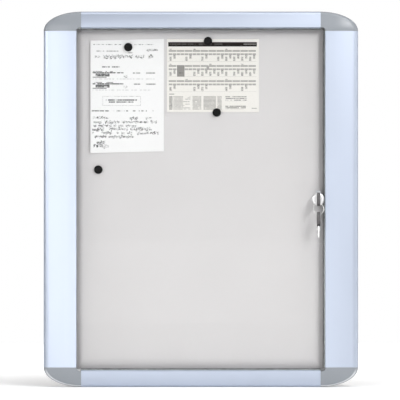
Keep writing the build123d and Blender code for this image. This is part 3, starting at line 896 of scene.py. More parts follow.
@dataclass(frozen=True)
class NoticePrint(PlainPaper):
    """Typed and pen-filled form, greeked; only the rows of one zone are drawn, in millimetres."""

    centre: Pair = (0.0, 0.0)
    size: Pair = NOTICE_SIZE
    zone: Pair = (0.0, NOTICE_SIZE[1] / MM)
    ink: Colour = (0.010, 0.010, 0.011)
    boxed: RowBlock = RowBlock(33, 154.4, 138, 180.4, shade=0.65)
    boxed_line: float = 1.2
    blocks: tuple[RowBlock, ...] = (
        RowBlock(8, 12.0, 172, 14.6, 2.6, 0.8, 6.0, 0.06, 0.8),
        RowBlock(8, 30.0, 84, 32.6, 2.6, 0.8, 6.0, 0.1, 0.75),
        RowBlock(88, 34.6, 128, 37.4, 2.8, 0.8, 9.0, 0.08, 0.8),
        RowBlock(29, 73.0, 84, 76.6, 3.6, 0.8, 4.0, 0.08, 1.0),
        RowBlock(6, 86.0, 66, 88.6, 2.6, 0.8, 12.0, 0.1, 0.8),
        RowBlock(6, 89.0, 90, 92.4, 3.4, 0.85, 9.0, 0.22, 1.0),
        RowBlock(14, 92.8, 52, 101.2, 4.2, 0.8, 7.0, 0.28, 1.0),
        RowBlock(6, 101.6, 44, 104.4, 2.8, 0.8, 8.0, 0.22, 0.8),
        RowBlock(116, 90.0, 136, 92.8, 2.8, 0.85, 8.0, 0.24, 0.85),
        RowBlock(152, 90.0, 178, 92.8, 2.8, 0.85, 8.0, 0.24, 0.95),
        RowBlock(6, 106.6, 176, 108.6, 2.0, 0.8, 8.0, 0.08, 0.45),
        RowBlock(6, 116.4, 62, 119.0, 2.6, 0.8, 12.0, 0.1, 0.8),
        RowBlock(6, 119.4, 90, 122.8, 3.4, 0.85, 9.0, 0.22, 1.0),
        RowBlock(14, 123.2, 52, 131.6, 4.2, 0.8, 7.0, 0.28, 1.0),
        RowBlock(6, 132.0, 44, 134.8, 2.8, 0.8, 8.0, 0.22, 0.8),
        RowBlock(119, 120.4, 136, 123.2, 2.8, 0.85, 8.0, 0.24, 0.9),
        RowBlock(152, 120.4, 178, 123.2, 2.8, 0.85, 8.0, 0.24, 0.95),
        RowBlock(6, 137.0, 164, 139.0, 2.0, 0.8, 8.0, 0.08, 0.45),
        RowBlock(42, 163.6, 127, 167.4, 3.8, 0.8, 7.0, 0.22, 1.0),
        RowBlock(50, 169.2, 118, 172.8, 3.6, 0.8, 7.0, 0.2, 1.0),
        RowBlock(4, 193.6, 50, 197.2, 3.6, 0.75, 4.5, 0.12, 0.95),
        RowBlock(56, 193.6, 172, 197.2, 3.6, 0.75, 5.0, 0.05, 0.85),
    )
    lines: tuple[ScriptRow, ...] = (
        ScriptRow(142, 184, 28.0, 2.6, 0.85),
        ScriptRow(8, 172, 46.5, 3.0, 1.0),
        ScriptRow(91, 101, 99.5, 3.2, 0.7),
        ScriptRow(91, 101, 130.0, 3.2, 0.7),
        ScriptRow(6, 50, 214.0, 2.5, 0.9),
        ScriptRow(106, 168, 216.0, 2.6, 0.95),
        ScriptRow(8, 186, 226.0, 2.7, 0.95),
        ScriptRow(8, 126, 236.0, 2.7, 0.95),
        ScriptRow(5, 168, 245.5, 2.8, 1.0),
        ScriptRow(6, 188, 256.0, 2.8, 1.0),
        ScriptRow(8, 122, 266.0, 2.8, 1.0),
        ScriptRow(10, 40, 282.0, 3.4, 1.0),
        ScriptRow(8, 34, 291.0, 3.4, 1.0),
        ScriptRow(30, 50, 292.0, 3.4, 0.6),
    )

    def material(self) -> Material:
        """Builds the printed front.

        Returns:
            The material.
        """
        g = FinishGraph(self.name)
        a = (g.x - self.centre[0] + self.size[0] / 2) / MM
        b = (self.size[1] / 2 - (g.z - self.centre[1])) / MM
        layout = PrintLayout(g, a, b)
        ink = layout.outline(self.boxed, self.boxed_line)
        top, bottom = self.zone
        for index, block in enumerate(self.blocks):
            if top <= block.top < bottom:
                ink = ink.most(layout.rows(block, index * 1.7))
        for index, line in enumerate(self.lines):
            if top <= line.middle < bottom:
                ink = ink.most(layout.script(line, index * 2.3))
        return self.sheet(g, ink, self.ink)


@dataclass(frozen=True)
class TimetablePrint(PlainPaper):
    """Wide timetable with a dark title bar, three bands of columns and a key below, greeked."""

    centre: Pair = (0.0, 0.0)
    size: Pair = TIMETABLE_SIZE
    shift: float = 1.8
    ink: Colour = (0.014, 0.011, 0.009)
    span: Pair = (6.8, 247.0)
    bar: RowBlock = RowBlock(5.4, 8.4, 248.4, 20.4, shade=0.995)
    title: RowBlock = RowBlock(9, 12.6, 154, 15.6, 3.0, 0.8, 12.0, 0.2, 0.12)
    corner: RowBlock = RowBlock(212, 12.6, 246, 15.8, 3.2, 0.8, 9.0, 0.3, 0.3)
    tinted: tuple[RowBlock, ...] = (
        RowBlock(29.5, 72.0, 50.0, 103.0, shade=0.66),
        RowBlock(110.4, 74.0, 117.4, 84.0, shade=0.55),
    )
    note: RowBlock = RowBlock(34, 91.5, 45, 94.5, 3.0, 0.9, 7.0, 0.4, 0.8)
    bands: tuple[tuple[float, str, str, str], ...] = (
        (32.0, "x..x...x...", "x.x.x.xxxxx", "x.x.x.xxxxx"),
        (73.3, "x....x...x.", "x..xxxxxxxx", "x..xxxx.xxx"),
        (114.8, "..x....x...", "x..xx..x.x.", "x..xx..x.x."),
    )
    legend: tuple[RowBlock, ...] = (
        RowBlock(8, 150.0, 22, 152.6, 2.6, 0.7, 5.0, 0.3, 0.8),
        RowBlock(8, 157.0, 17, 194.0, 3.4, 0.7, 6.0, 0.36, 0.77),
        RowBlock(19, 157.0, 46, 194.0, 3.4, 0.6, 12.0, 0.3, 0.5),
        RowBlock(46, 157.0, 66, 194.0, 3.4, 0.6, 18.0, 0.0, 0.48),
        RowBlock(72, 157.0, 96, 194.0, 3.4, 0.6, 10.0, 0.24, 0.56),
        RowBlock(102, 157.0, 136, 194.0, 3.4, 0.66, 8.0, 0.36, 0.55),
        RowBlock(140, 157.0, 152, 194.0, 3.4, 0.62, 6.0, 0.28, 0.52),
        RowBlock(162, 157.0, 220, 171.0, 4.6, 0.55, 14.0, 0.16, 0.7),
        RowBlock(162, 183.0, 218, 192.0, 4.2, 0.6, 10.0, 0.2, 0.75),
        RowBlock(234, 189.0, 248, 191.6, 2.6, 0.7, 5.0, 0.3, 0.6),
    )

    def band_ink(self, layout: PrintLayout, band: tuple[float, str, str, str], seed: float) -> Signal:
        """Ink of one band of the table.

        Args:
            layout: Drawing helper of the sheet.
            band: Top of the band in millimetres, then the columns with a label above, with a heap
                of figures low in the band and with one high in it.
            seed: Number that makes this band's figures its own.

        Returns:
            The share of ink.
        """
        top, labels, lower, upper = band
        left, right = self.span
        count = len(labels)
        heads = layout.columns(RowBlock(left, top - 1.9, right, top + 3.0, shade=0.56), count, 0.93)
        days = layout.columns(RowBlock(left, top + 7.2, right, top + 12.0, shade=0.56), 2 * count, 0.88)
        heading = RowBlock(left, top - 5.4, right, top - 2.2, 3.2, 0.8, shade=0.7)
        low = RowBlock(left, top + 16.5, right, top + 28.5, 3.0, 0.7, shade=0.85)
        high = RowBlock(left, top + 12.0, right, top + 22.0, 3.0, 0.7, shade=0.85)
        rule = layout.within(left - 2, top + 29.2, right, top + 29.9) * 0.3
        ink = heads.most(days).most(rule).most(layout.cells(heading, labels, 0.24, seed + 9.0))
        ink = ink.most(layout.cells(low, lower, 0.22, seed))
        return ink.most(layout.cells(high, upper, 0.72, seed + 5.0))

    def material(self) -> Material:
        """Builds the printed front.

        Returns:
            The material.
        """
        g = FinishGraph(self.name)
        a = (g.x - self.centre[0] + self.size[0] / 2) / MM + self.shift
        b = (self.size[1] / 2 - (g.z - self.centre[1])) / MM
        layout = PrintLayout(g, a, b)
        ink = layout.within(*self.bar.box) * self.bar.shade
        ink = ink - layout.rows(self.title, 0.4) - layout.rows(self.corner, 0.9)
        for index, band in enumerate(self.bands):
            ink = ink.most(self.band_ink(layout, band, 1.3 + 2.1 * index))
        for block in self.tinted:
            ink = ink.most(layout.within(*block.box) * block.shade)
        ink = ink.most(layout.rows(self.note, 7.7))
        for index, block in enumerate(self.legend):
            ink = ink.most(layout.rows(block, 11.0 + index * 1.9))
        return self.sheet(g, ink, self.ink)


@dataclass(frozen=True)
class PaleFloor:
    """Plain pale studio floor."""

    pale: Colour = (0.90, 0.90, 0.90)
    dull: Colour = (0.87, 0.87, 0.87)
    bounce: Colour = (0.13, 0.13, 0.13)
    near: Colour = (0.12, 0.12, 0.12)
    far: Colour = (0.60, 0.60, 0.60)

    def material(self) -> Material:
        """Builds the finish.

        Returns:
            The material.
        """
        g = FinishGraph("pale_floor")
        cloud = g.cloudy(2.0)
        reach = g.math("SQRT", g.x * g.x + g.y * g.y)
        lit = g.mix(g.ease(reach, 0.25, 1.3), self.near, self.far)
        seen = g.node("ShaderNodeLightPath", None, None, "Is Camera Ray")
        return g.done(
            Base_Color=g.mix(cloud, self.dull, self.pale),
            Roughness=0.8 + cloud * 0.1,
            Emission_Color=g.mix(seen, self.bounce, lit),
            Emission_Strength=1.0,
        )


@dataclass
class MeshDraft:
    """Points and faces of a piece while it is being built."""

    points: list[Vector] = field(default_factory=list)
    faces: list[tuple[int, ...]] = field(default_factory=list)
    tints: list[int] = field(default_factory=list)
    weld: float = 1e-7
    smooth: float = math.radians(40)

    def row(self, points: Sequence[Vector]) -> list[int]:
        """Adds a row of points.

        Args:
            points: The points, in order.

        Returns:
            Their numbers.
        """
        start = len(self.points)
        self.points.extend(points)
        return list(range(start, len(self.points)))

    def face(self, corners: Sequence[int], tint: int = 0) -> None:
        """Adds one face with its material number."""
        self.faces.append(tuple(corners))
        self.tints.append(tint)

    def skin(self, rows: Sequence[Sequence[int]], closed: bool, tint: int = 0) -> None:
        """Joins rows of points by quads.

        Args:
            rows: Rows of equal length.
            closed: Whether each row runs round to its start.
            tint: Material number of the faces.
        """
        for low, high in zip(rows, rows[1:]):
            last = len(low) if closed else len(low) - 1
            for i in range(last):
                j = (i + 1) % len(low)
                self.face((low[i], low[j], high[j], high[i]), tint)

    def piece(
        self, name: str, body: str, slot: str, finishes: Sequence[Material], replaced: Sequence[str]
    ) -> bpy.types.Object:
        """Makes the mesh an object that rides on a body.

        Args:
            name: Name of the piece.
            body: Body that it moves with.
            slot: Name of a material slot; not used.
            finishes: Materials, by the faces' material numbers.
            replaced: Nodes that it stands for.

        Returns:
            The object.
        """
        mesh = bpy.data.meshes.new(name)
        mesh.from_pydata([tuple(p) for p in self.points], [], self.faces)
        mesh.polygons.foreach_set("material_index", self.tints)
        shape = bmesh.new()
        shape.from_mesh(mesh)
        bmesh.ops.remove_doubles(shape, verts=shape.verts, dist=self.weld)
        bmesh.ops.recalc_face_normals(shape, faces=shape.faces)
        for edge in shape.edges:
            edge.smooth = len(edge.link_faces) == 2 and edge.calc_face_angle(0.0) < self.smooth
        for face in shape.faces:
            face.smooth = True
        shape.to_mesh(mesh)
        shape.free()
        for finish in finishes:
            mesh.materials.append(finish)
        made = bpy.data.objects.new(name, mesh)
        bpy.context.scene.collection.objects.link(made)
        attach(made, body)
        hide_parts(*replaced)
        log.info("built %s on %s, %d faces", name, body, len(mesh.polygons))
        return made


class HeadForm(Enum):
    """Form of a screw's head."""

    COUNTERSUNK = "countersunk"
    PAN = "pan"


@dataclass
class RecessedScrew:
    """Screw with a cross recess in its head; shares are of the head's or the shank's own size."""

    seat: Vector
    axis: Vector
    length: float
    head_radius: float
    head_height: float
    shank_radius: float
    form: HeadForm
    spin: float
    sides: int = 48
    face_rings: int = 18
    dome_share: float = 0.42
    arm_share: float = 0.62
    slot_share: float = 0.13
    cut_share: float = 0.6
    cut_taper: float = 0.6
    pitch_share: float = 0.9
    root_share: float = 0.8
    tip_share: float = 0.5

    def depth(self, x: float, y: float) -> float:
        """Depth of the head's face below its top at a point.

        Args:
            x: Place along one arm of the cross.
            y: Place along the other arm.

        Returns:
            The depth.
        """
        radius = math.hypot(x, y) / self.head_radius
        crown = self.dome_share * self.head_height * radius**2 if self.form is HeadForm.PAN else 0.0
        arm, half = self.arm_share * self.head_radius, self.slot_share * self.head_radius
        cut = 0.0
        for p, q in ((x, y), (y, x)):
            if abs(p) < arm and abs(q) < half:
                deep = self.cut_share * self.head_height
                cut = max(cut, deep * (1 - self.cut_taper * abs(p) / arm))
        return crown + cut

    def add_to(self, draft: MeshDraft) -> None:
        """Adds the screw's mesh.

        Args:
            draft: Draft that takes it.
        """
        side = self.axis.orthogonal().normalized()
        side.rotate(Matrix.Rotation(self.spin, 3, self.axis))
        other = self.axis.cross(side)

        def at(x: float, y: float, down: float) -> Vector:
            """Point of the screw in the part's frame."""
            return self.seat + side * x + other * y - self.axis * down

        def ring(radius: float, down: Optional[float]) -> list[int]:
            """Adds a ring of points round the axis.

            Args:
                radius: Radius of the ring.
                down: Its depth, or None to follow the head's face.

            Returns:
                Numbers of the points.
            """
            spots = []
            for i in range(self.sides):
                turn = 2 * math.pi * i / self.sides
                x, y = radius * math.cos(turn), radius * math.sin(turn)
                spots.append(at(x, y, self.depth(x, y) if down is None else down))
            return draft.row(spots)

        rings = self.face_rings
        face = [ring(self.head_radius * k / rings, None) for k in range(1, rings + 1)]
        middle = draft.row([at(0, 0, self.depth(0, 0))])[0]
        for i in range(self.sides):
            draft.face((middle, face[0][i], face[0][(i + 1) % self.sides]))
        under = self.shank_radius if self.form is HeadForm.COUNTERSUNK else self.head_radius
        body = [ring(under, self.head_height), ring(self.shank_radius, self.head_height)]
        pitch = self.pitch_share * self.shank_radius
        crest, root, taper = 0.35 * pitch, 0.7 * pitch, 0.4 * pitch
        turns = max(2, int((self.length - self.head_height) / pitch) - 1)
        for k in range(turns):
            start = self.head_height + k * pitch
            body.append(ring(self.shank_radius, start + crest))
            body.append(ring(self.root_share * self.shank_radius, start + root))
        body.append(ring(self.shank_radius, self.length - taper))
        body.append(ring(self.tip_share * self.shank_radius, self.length))
        draft.skin(face + body, closed=True)
        draft.face(body[-1])


def solid_boxes(name: str) -> list[tuple[Vector, Vector]]:
    """Boxes of the separate solids in one node, found by points that match to a micrometre.

    Args:
        name: Name of the node.

    Returns:
        The lowest and highest corner of each solid.
    """
    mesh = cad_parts[name].data
    group: dict[GridPoint, GridPoint] = {}

    def root(key: GridPoint) -> GridPoint:
        """Finds the point that stands for a point's solid.

        Args:
            key: Rounded place of the point.

        Returns:
            Rounded place of the one that stands for all.
        """
        while group[key] != key:
            group[key] = group[group[key]]
            key = group[key]
        return key

    per_metre = 1e6
    keys = [tuple(round(c * per_metre) for c in v.co) for v in mesh.vertices]
    group.update({key: key for key in keys})
    for edge in mesh.edges:
        a, b = (root(keys[i]) for i in edge.vertices)
        group[a] = b
    boxes: dict[GridPoint, tuple[Vector, Vector]] = {}
    for key, vertex in zip(keys, mesh.vertices):
        low, high = boxes.get(root(key), (vertex.co.copy(), vertex.co.copy()))
        boxes[root(key)] = (Vector(map(min, low, vertex.co)), Vector(map(max, high, vertex.co)))
    return sorted(boxes.values(), key=lambda box: tuple(box[0]))


@dataclass
class Assembly:
    """Sub-assembly of the case that dresses its own nodes."""

    body: str = "case"
    screw_turn: float = 0.7

    def dress(self, finish: Material, *names: str) -> None:
        """Gives nodes one finish.

        Args:
            finish: Material of the nodes.
            names: Names of the nodes.
        """
        for name in names:
            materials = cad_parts[name].data.materials
            materials.clear()
            materials.append(finish)
            log.info("dressed %s with %s", name, finish.name)

    def screws(
        self, node: str, axis: Vector, head: Triple, form: HeadForm, finish: Material
    ) -> bpy.types.Object:
        """Builds recessed screws where a node's plain ones are.

        Args:
            node: Node of the plain screws.
            axis: Direction in which the heads look.
            head: Head radius, head height and shank radius.
            form: Form of the heads.
            finish: Material of the screws.

        Returns:
            The piece.
        """
        draft = MeshDraft()
        for index, (low, high) in enumerate(solid_boxes(node)):
            middle, half = (low + high) / 2, (high - low) / 2
            reach = sum(abs(a) * h for a, h in zip(axis, half))
            seat, spin = middle + axis * reach, self.screw_turn * index
            RecessedScrew(seat, axis, 2 * reach, *head, form, spin).add_to(draft)
        return draft.piece(f"recessed_{node}", self.body, "fixing_steel", [finish], [node])


@dataclass
class FrameWork(Assembly):
    """Profiles, corner covers and the brackets behind them."""

    corners: tuple[str, ...] = ("top_right", "top_left", "bottom_right", "bottom_left")
    screw_head: Triple = (3.8 * MM, 1.9 * MM, 1.9 * MM)

    def build(self, zinc: Material) -> None:
        """Dresses the frame and builds its screws.

        Args:
            zinc: Plating of the screws.
        """
        upright = AnodisedAluminium(Grain.UPRIGHT).material()
        across = AnodisedAluminium(Grain.ACROSS).material()
        self.dress(upright, "left_profile", "right_profile")
        self.dress(across, "top_profile", "bottom_profile")
        self.dress(MouldedCover().material(), *(f"corner_cover_{c}" for c in self.corners))
        self.dress(CastAlloy().material(), *(f"corner_bracket_{c}" for c in self.corners))
        self.screws("bracket_screws", Vector((0, 1, 0)), self.screw_head, HeadForm.COUNTERSUNK, zinc)


@dataclass
class Board(Assembly):
    """Fibre backing with the lacquered steel panel in front."""

    def build(self) -> None:
        """Dresses both layers."""
        self.dress(Fibreboard().material(), "backing_board")
        self.dress(BoardLacquer().material(), "magnetic_panel")


@dataclass
class PaneStops(Assembly):
    """Stop strip of the lock side with its screws, and the seals that the pane closes on."""

    screw_head: Triple = (3.4 * MM, 2.2 * MM, 1.75 * MM)
    strip: AnodisedAluminium = AnodisedAluminium(
        Grain.UPRIGHT, pale=(0.70, 0.73, 0.77), deep=(0.60, 0.63, 0.67), roughness=0.42
    )

    def build(self, zinc: Material, rubber: Material) -> None:
        """Dresses the stops and builds the strip's screws.

        Args:
            zinc: Plating of the fixings.
            rubber: Finish of the seals.
        """
        self.dress(self.strip.material(), "strike_strip")
        self.dress(rubber, "seal_top", "seal_bottom", "seal_lock_side")
        self.dress(NaturalNylon().material(), "hinge_bush_top", "hinge_bush_bottom")
        self.screws("strike_screws", Vector((-1, 0, 0)), self.screw_head, HeadForm.PAN, zinc)


@dataclass
class Door(Assembly):
    """Clear pane in its stile, with the hinge arms and pins."""

    body: str = "door"
    screw_head: Triple = (2.2 * MM, 1.2 * MM, 1.2 * MM)
    stile: AnodisedAluminium = AnodisedAluminium(Grain.UPRIGHT, roughness=0.4)

    def build(self, zinc: Material, rubber: Material) -> None:
        """Dresses the door and builds the arms' screws.

        Args:
            zinc: Plating of the fixings.
            rubber: Finish of the seals.
        """
        low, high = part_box("door_pane")
        self.dress(ClearAcrylic(low.x, high.x, high.z).material(), "door_pane")
        self.dress(self.stile.material(), "hinge_stile")
        self.dress(rubber, "stile_gasket")
        self.dress(zinc, "hinge_arm_top", "hinge_arm_bottom", "hinge_pin_top", "hinge_pin_bottom")
        self.screws("arm_screws", Vector((0, 1, 0)), self.screw_head, HeadForm.PAN, zinc)


@dataclass
class CamLock(Assembly):
    """Chrome lock in the pane, with its nut behind and the turning plug and cam."""

    body: str = "lock_turner"
    screw_head: Triple = (4.6 * MM, 2.6 * MM, 2.4 * MM)
    chrome: PlatedMetal = PlatedMetal(
        "lock_chrome", (0.74, 0.735, 0.74), (0.66, 0.655, 0.66), 0.40, 0.05, Tooling.TURNED
    )
    nickel: PlatedMetal = PlatedMetal(
        "plug_nickel", (0.74, 0.735, 0.725), (0.66, 0.655, 0.645), 0.40, 0.06, Tooling.TURNED
    )

    def build(self, zinc: Material, rubber: Material) -> None:
        """Dresses the lock and builds the cam's screw.

        Args:
            zinc: Plating of the fixings.
            rubber: Finish of the seals.
        """
        self.dress(self.chrome.material(), "lock_body")
        self.dress(rubber, "lock_front_washer")
        self.dress(zinc, "lock_back_washer", "lock_nut", "lock_cam")
        self.dress(self.nickel.material(), "lock_plug")
        self.screws("cam_screw", Vector((0, 1, 0)), self.screw_head, HeadForm.PAN, zinc)


@dataclass
class SplitRing:
    """Key ring of flat wire wound nearly twice round, with a jog between its two layers."""

    centre: Vector
    radius: float
    wide: float
    deep: float
    gap: float = 0.12 * MM
    jog: float = math.radians(38)
    ends: float = math.radians(40)
    steps: int = 220
    corners: int = 16
    round_share: float = 0.85

    def section(self) -> list[Pair]:
        """Rounded outline of the wire.

        Returns:
            Outward and sideways place of each corner.
        """
        half_wide, half_deep = self.wide / 2, (self.deep - self.gap) / 4
        bend = self.round_share * half_deep
        spots = []
        for k in range(self.corners):
            turn = 2 * math.pi * (k + 0.5) / self.corners
            c, s = math.cos(turn), math.sin(turn)
            out = math.copysign(half_wide - bend, c) + bend * c
            spots.append((out, math.copysign(half_deep - bend, s) + bend * s))
        return spots

    def build(self, finish: Material) -> bpy.types.Object:
        """Sweeps the wire along its coil.

        Args:
            finish: Material of the wire.

        Returns:
            The piece.
        """
        draft, rows = MeshDraft(), []
        layer = (self.deep + self.gap) / 4
        whole = 4 * math.pi - 2 * self.ends
        for k in range(self.steps + 1):
            turn = self.ends + whole * k / self.steps
            share = (turn - 2 * math.pi + self.jog) / (2 * self.jog)
            share = min(max(share, 0.0), 1.0)
            side = layer * (2 * share * share * (3 - 2 * share) - 1)
            out = Vector((math.cos(turn), 0, math.sin(turn)))
            row = [
                self.centre + out * (self.radius + u) + Vector((0, side + w, 0))
                for u, w in self.section()
            ]
            rows.append(draft.row(row))
        draft.skin(rows, closed=True)
        draft.face(rows[0])
        draft.face(rows[-1])
        return draft.piece("split_ring", "ring", "key_metal", [finish], ["key_ring"])


@dataclass
class KeyBunch(Assembly):
    """Key in the lock, the ring through its loop and the spare key below."""

    wide: float = 1.9 * MM
    slack: float = 0.2 * MM
    blade: PlatedMetal = PlatedMetal("key_nickel", (0.93, 0.925, 0.91), (0.80, 0.79, 0.77), 0.20, 0.08)
    wire: PlatedMetal = PlatedMetal(
        "ring_nickel", (0.74, 0.735, 0.725), (0.60, 0.595, 0.585), 0.36, 0.08
    )

    def build(self) -> None:
        """Dresses the keys and builds the split ring, whose wire stays inside the plain ring."""
        self.dress(self.blade.material(), "key_blade", "spare_key_blade")
        low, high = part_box("key_head")
        half = (high.z - low.z) / 2
        for name in ("key_head", "spare_key_head"):
            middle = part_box(name)[1].z - half
            self.dress(KeyMoulding(f"{name}_moulding", middle).material(), name)
        low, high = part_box("key_ring")
        radius = (high.x - low.x) / 2 - self.wide / 2 - self.slack / 2
        ring = SplitRing((low + high) / 2, radius, self.wide, high.y - low.y - 2 * self.slack)
        ring.build(self.wire.material())


@dataclass
class Magnets(Assembly):
    """Round black magnets on the board."""

    count: int = MAGNET_COUNT

    def build(self) -> None:
        """Dresses the caps and their ferrite discs."""
        numbers = range(1, self.count + 1)
        self.dress(BlackMoulding().material(), *(f"magnet_cap_{i}" for i in numbers))
        self.dress(GroundFerrite().material(), *(f"magnet_disc_{i}" for i in numbers))


@dataclass(frozen=True)
class EdgeLifts:
    """How far each edge of a sheet stands off the board."""

    left: float
    right: float
    bottom: float
    top: float


@dataclass(frozen=True)
class PinnedSheet:
    """Sheet of paper held by magnets, a little lifted where nothing holds it."""

    node: str
    name: str
    slot: str
    width: float
    height: float
    slope: float
    lifts: EdgeLifts
    split: float = 1.0
    across: int = 56
    down: int = 64
    side_reach: float = 0.3
    foot_reach: float = 0.42
    head_reach: float = 0.16
    ripple: float = 0.00025
    pin_radius: float = 0.012
    pin_fade: float = 0.022

    def lift(self, a: float, b: float, pins: Sequence[Pair]) -> float:
        """Distance of the paper from the board.

        Args:
            a: Distance from the left edge.
            b: Distance from the top edge.
            pins: Places of the magnets, in the same measure.

        Returns:
            The lift.
        """
        s, t = a / self.width, b / self.height

        def near(share: float, reach: float) -> float:
            """1 at an edge, falling to 0 at its reach."""
            return max(0.0, 1 - share / reach) ** 2

        rise = self.lifts.left * near(s, self.side_reach) * (0.8 + 0.2 * t)
        rise += self.lifts.right * near(1 - s, self.side_reach) * (0.25 + 0.75 * t)
        wave = 0.75 + 0.25 * math.cos(5.1 * s)
        rise += self.lifts.bottom * near(1 - t, self.foot_reach) * wave
        rise += self.lifts.top * near(t, self.head_reach) * abs(2 * s - 1)
        rise += self.ripple * (1 + math.sin(7.3 * s + 2.1) * math.sin(5.2 * t + 0.6))
        for pin in pins:
            gap = math.hypot(a - pin[0], b - pin[1])
            rise *= 1 - math.exp(-max(0.0, gap - self.pin_radius) / self.pin_fade)
        return rise

    def build(self, back: Material, *fronts: Material) -> bpy.types.Object:
        """Builds the sheet with its two faces and its cut edge.

        Args:
            back: Bare finish.
            fronts: Printed finishes, above and below the split.

        Returns:
            The piece.
        """
        low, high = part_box(self.node)
        centre = (low + high) / 2
        pins = []
        for i in range(1, MAGNET_COUNT + 1):
            spot = sum(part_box(f"magnet_cap_{i}"), Vector()) / 2 - centre
            pins.append((spot.x + self.width / 2, self.height / 2 - spot.z))
        draft = MeshDraft()
        faces: dict[float, list[list[int]]] = {}
        for level in (high.y, low.y):
            faces[level] = []
            for j in range(self.down + 1):
                row = []
                for i in range(self.across + 1):
                    a, b = self.width * i / self.across, self.height * j / self.down
                    x = centre.x + a - self.width / 2
                    z = centre.z + self.height / 2 - b + self.slope * (i / self.across - 0.5)
                    row.append(Vector((x, level - self.lift(a, b, pins), z)))
                faces[level].append(draft.row(row))
        part = round(self.split * self.down)
        draft.skin(faces[high.y], closed=False)
        draft.skin(faces[low.y][: part + 1], closed=False, tint=1)
        draft.skin(faces[low.y][part:], closed=False, tint=2)
        hem = []
        for level in (high.y, low.y):
            rows = faces[level]
            hem.append(
                rows[0]
                + [row[-1] for row in rows[1:]]
                + rows[-1][-2::-1]
                + [row[0] for row in rows[-2:0:-1]]
            )
        draft.skin(hem, closed=True)
        return draft.piece(self.name, "case", self.slot, [back, *fronts], [self.node])


@dataclass
class Notices:
    """The two sheets on the board."""

    white: tuple[Colour, Colour] = ((0.915, 0.915, 0.915), (0.88, 0.88, 0.875))
    cream: tuple[Colour, Colour] = ((0.872, 0.857, 0.818), (0.843, 0.825, 0.783))
    notice: PinnedSheet = PinnedSheet(
        "notice_sheet", "notice_page", "notice_paper", *NOTICE_SIZE, slope=0.005,
        lifts=EdgeLifts(left=0.0090, right=0.0012, bottom=0.0018, top=0.0006), split=0.5,
    )
    timetable: PinnedSheet = PinnedSheet(
        "timetable_sheet", "timetable_page", "timetable_paper", *TIMETABLE_SIZE, slope=0.0,
        lifts=EdgeLifts(left=0.0014, right=0.0016, bottom=0.0010, top=0.0008),
    )

    @staticmethod
    def centre(node: str) -> Pair:
        """Middle of a sheet's node, across and up."""
        middle = sum(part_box(node), Vector()) / 2
        return middle.x, middle.z

    def build(self) -> None:
        """Builds both sheets with their print."""
        spot, tall = self.centre(self.notice.node), self.notice.height / MM
        parting = self.notice.split * tall
        upper = NoticePrint("notice_upper", *self.white, centre=spot, zone=(0.0, parting))
        lower = NoticePrint("notice_lower", *self.white, centre=spot, zone=(parting, tall))
        place = self.centre(self.timetable.node)
        table = TimetablePrint("timetable_front", *self.cream, centre=place)
        bare = PlainPaper("notice_back", *self.white).material()
        self.notice.build(bare, upper.material(), lower.material())
        self.timetable.build(PlainPaper("timetable_back", *self.cream).material(), table.material())


@dataclass(frozen=True)
class SoftBox:
    """Large soft light that looks at the middle of the part."""

    name: str
    place: Triple
    width: float
    height: float
    level: float

    def build(self) -> bpy.types.Object:
        """Makes the light, with its level as the brightness of its face.

        Returns:
            The light.
        """
        light = bpy.data.lights.new(self.name, "AREA")
        light.shape = "RECTANGLE"
        light.size, light.size_y = self.width, self.height
        light.energy = self.level * math.pi * self.width * self.height
        made = bpy.data.objects.new(self.name, light)
        made.location = self.place
        made.rotation_euler = (Vector() - Vector(self.place)).to_track_quat("-Z", "Y").to_euler()
        made.visible_camera = False
        bpy.context.scene.collection.objects.link(made)
        return made


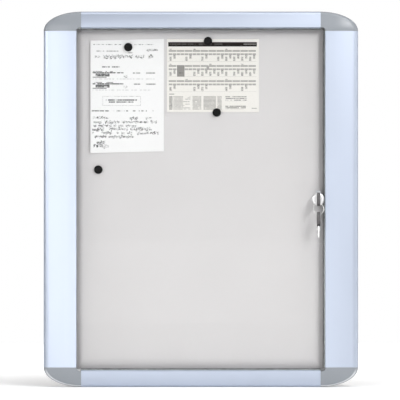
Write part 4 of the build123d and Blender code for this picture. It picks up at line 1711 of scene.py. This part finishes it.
@dataclass
class Studio:
    """Floor, light and camera round the case."""

    distance: float = 10.7
    picture_width: float = 400 * 2.7354 * MM
    picture_plane: float = 0.035
    middle: Pair = (-2.46 * MM, -2.19 * MM)
    floor_radius: float = 3.2
    floor_sides: int = 96
    floor_gap: float = 0.5 * MM
    ambient: Colour = (0.05, 0.05, 0.052)
    lights: tuple[SoftBox, ...] = (
        SoftBox("key_box", (2.4, -5.2, 2.3), 1.5, 1.5, 17.5),
        SoftBox("near_box", (1.5, -2.0, 2.4), 0.9, 0.9, 14.5),
        SoftBox("left_box", (-2.3, -1.7, 0.6), 1.2, 1.2, 4.8),
        SoftBox("fill_box", (-2.0, -5.6, 0.7), 1.7, 2.2, 5.5),
        SoftBox("low_box", (0.0, -3.6, -0.3), 2.6, 0.3, 5.0),
        SoftBox("right_box", (3.5, -1.5, 0.6), 2.2, 2.2, 1.9),
        SoftBox("rim_left", (-4.0, 2.2, 0.7), 2.4, 2.4, 2.0),
        SoftBox("rim_right", (4.0, 2.2, 0.7), 2.4, 2.4, 2.0),
        SoftBox("top_box", (0.0, -0.6, 3.4), 3.4, 3.0, 1.9),
        SoftBox("rear_box", (0.8, 5.0, 1.4), 4.0, 3.5, 1.6),
    )

    def build(self) -> None:
        """Builds the whole stage."""
        self.build_floor()
        self.build_world()
        for light in self.lights:
            light.build()
        self.build_camera()

    def build_floor(self) -> None:
        """Lays a round pale floor under the case."""
        mesh = bpy.data.meshes.new("floor")
        shape = bmesh.new()
        bmesh.ops.create_circle(shape, cap_ends=True, segments=self.floor_sides, radius=self.floor_radius)
        shape.to_mesh(mesh)
        shape.free()
        mesh.materials.append(PaleFloor().material())
        floor = bpy.data.objects.new("floor", mesh)
        floor.location = (0, 0, cad_box[0].z - self.floor_gap)
        bpy.context.scene.collection.objects.link(floor)

    def build_world(self) -> None:
        """Sets a soft even surround, white behind the case, and the plain view transform."""
        world = bpy.data.worlds.new("surround")
        world.use_nodes = True
        g = NodeGraph(world.node_tree)
        seen = g.node("ShaderNodeLightPath", None, None, "Is Camera Ray")
        colour = g.mix(seen, self.ambient, (1.0, 1.0, 1.0))
        background = g.node("ShaderNodeBackground", None, {"Color": colour, "Strength": 1.0})
        g.node("ShaderNodeOutputWorld", None, {"Surface": background})
        bpy.context.scene.world = world
        bpy.context.scene.view_settings.view_transform = "Standard"

    def build_camera(self) -> None:
        """Sets the camera straight in front, far off with a long lens."""
        data = bpy.data.cameras.new("camera")
        data.sensor_width = 36.0
        data.lens = data.sensor_width * (self.distance - self.picture_plane) / self.picture_width
        data.clip_end = 100.0
        camera = bpy.data.objects.new("camera", data)
        camera.location = (self.middle[0], -self.distance, self.middle[1])
        camera.rotation_euler = (math.radians(90), 0, 0)
        bpy.context.scene.collection.objects.link(camera)
        bpy.context.scene.camera = camera


def main() -> None:
    """Dresses the case, builds its own pieces and sets the stage."""
    logging.basicConfig(level=logging.INFO, format="%(name)s: %(message)s")
    zinc = PlatedMetal("zinc_plate", (0.70, 0.71, 0.73), (0.50, 0.51, 0.53), 0.30, 0.10).material()
    rubber = SealRubber().material()
    FrameWork().build(zinc)
    Board().build()
    PaneStops().build(zinc, rubber)
    Door().build(zinc, rubber)
    CamLock().build(zinc, rubber)
    KeyBunch().build()
    Magnets().build()
    Notices().build()
    Studio().build()


if __name__ == "__main__":
    main()
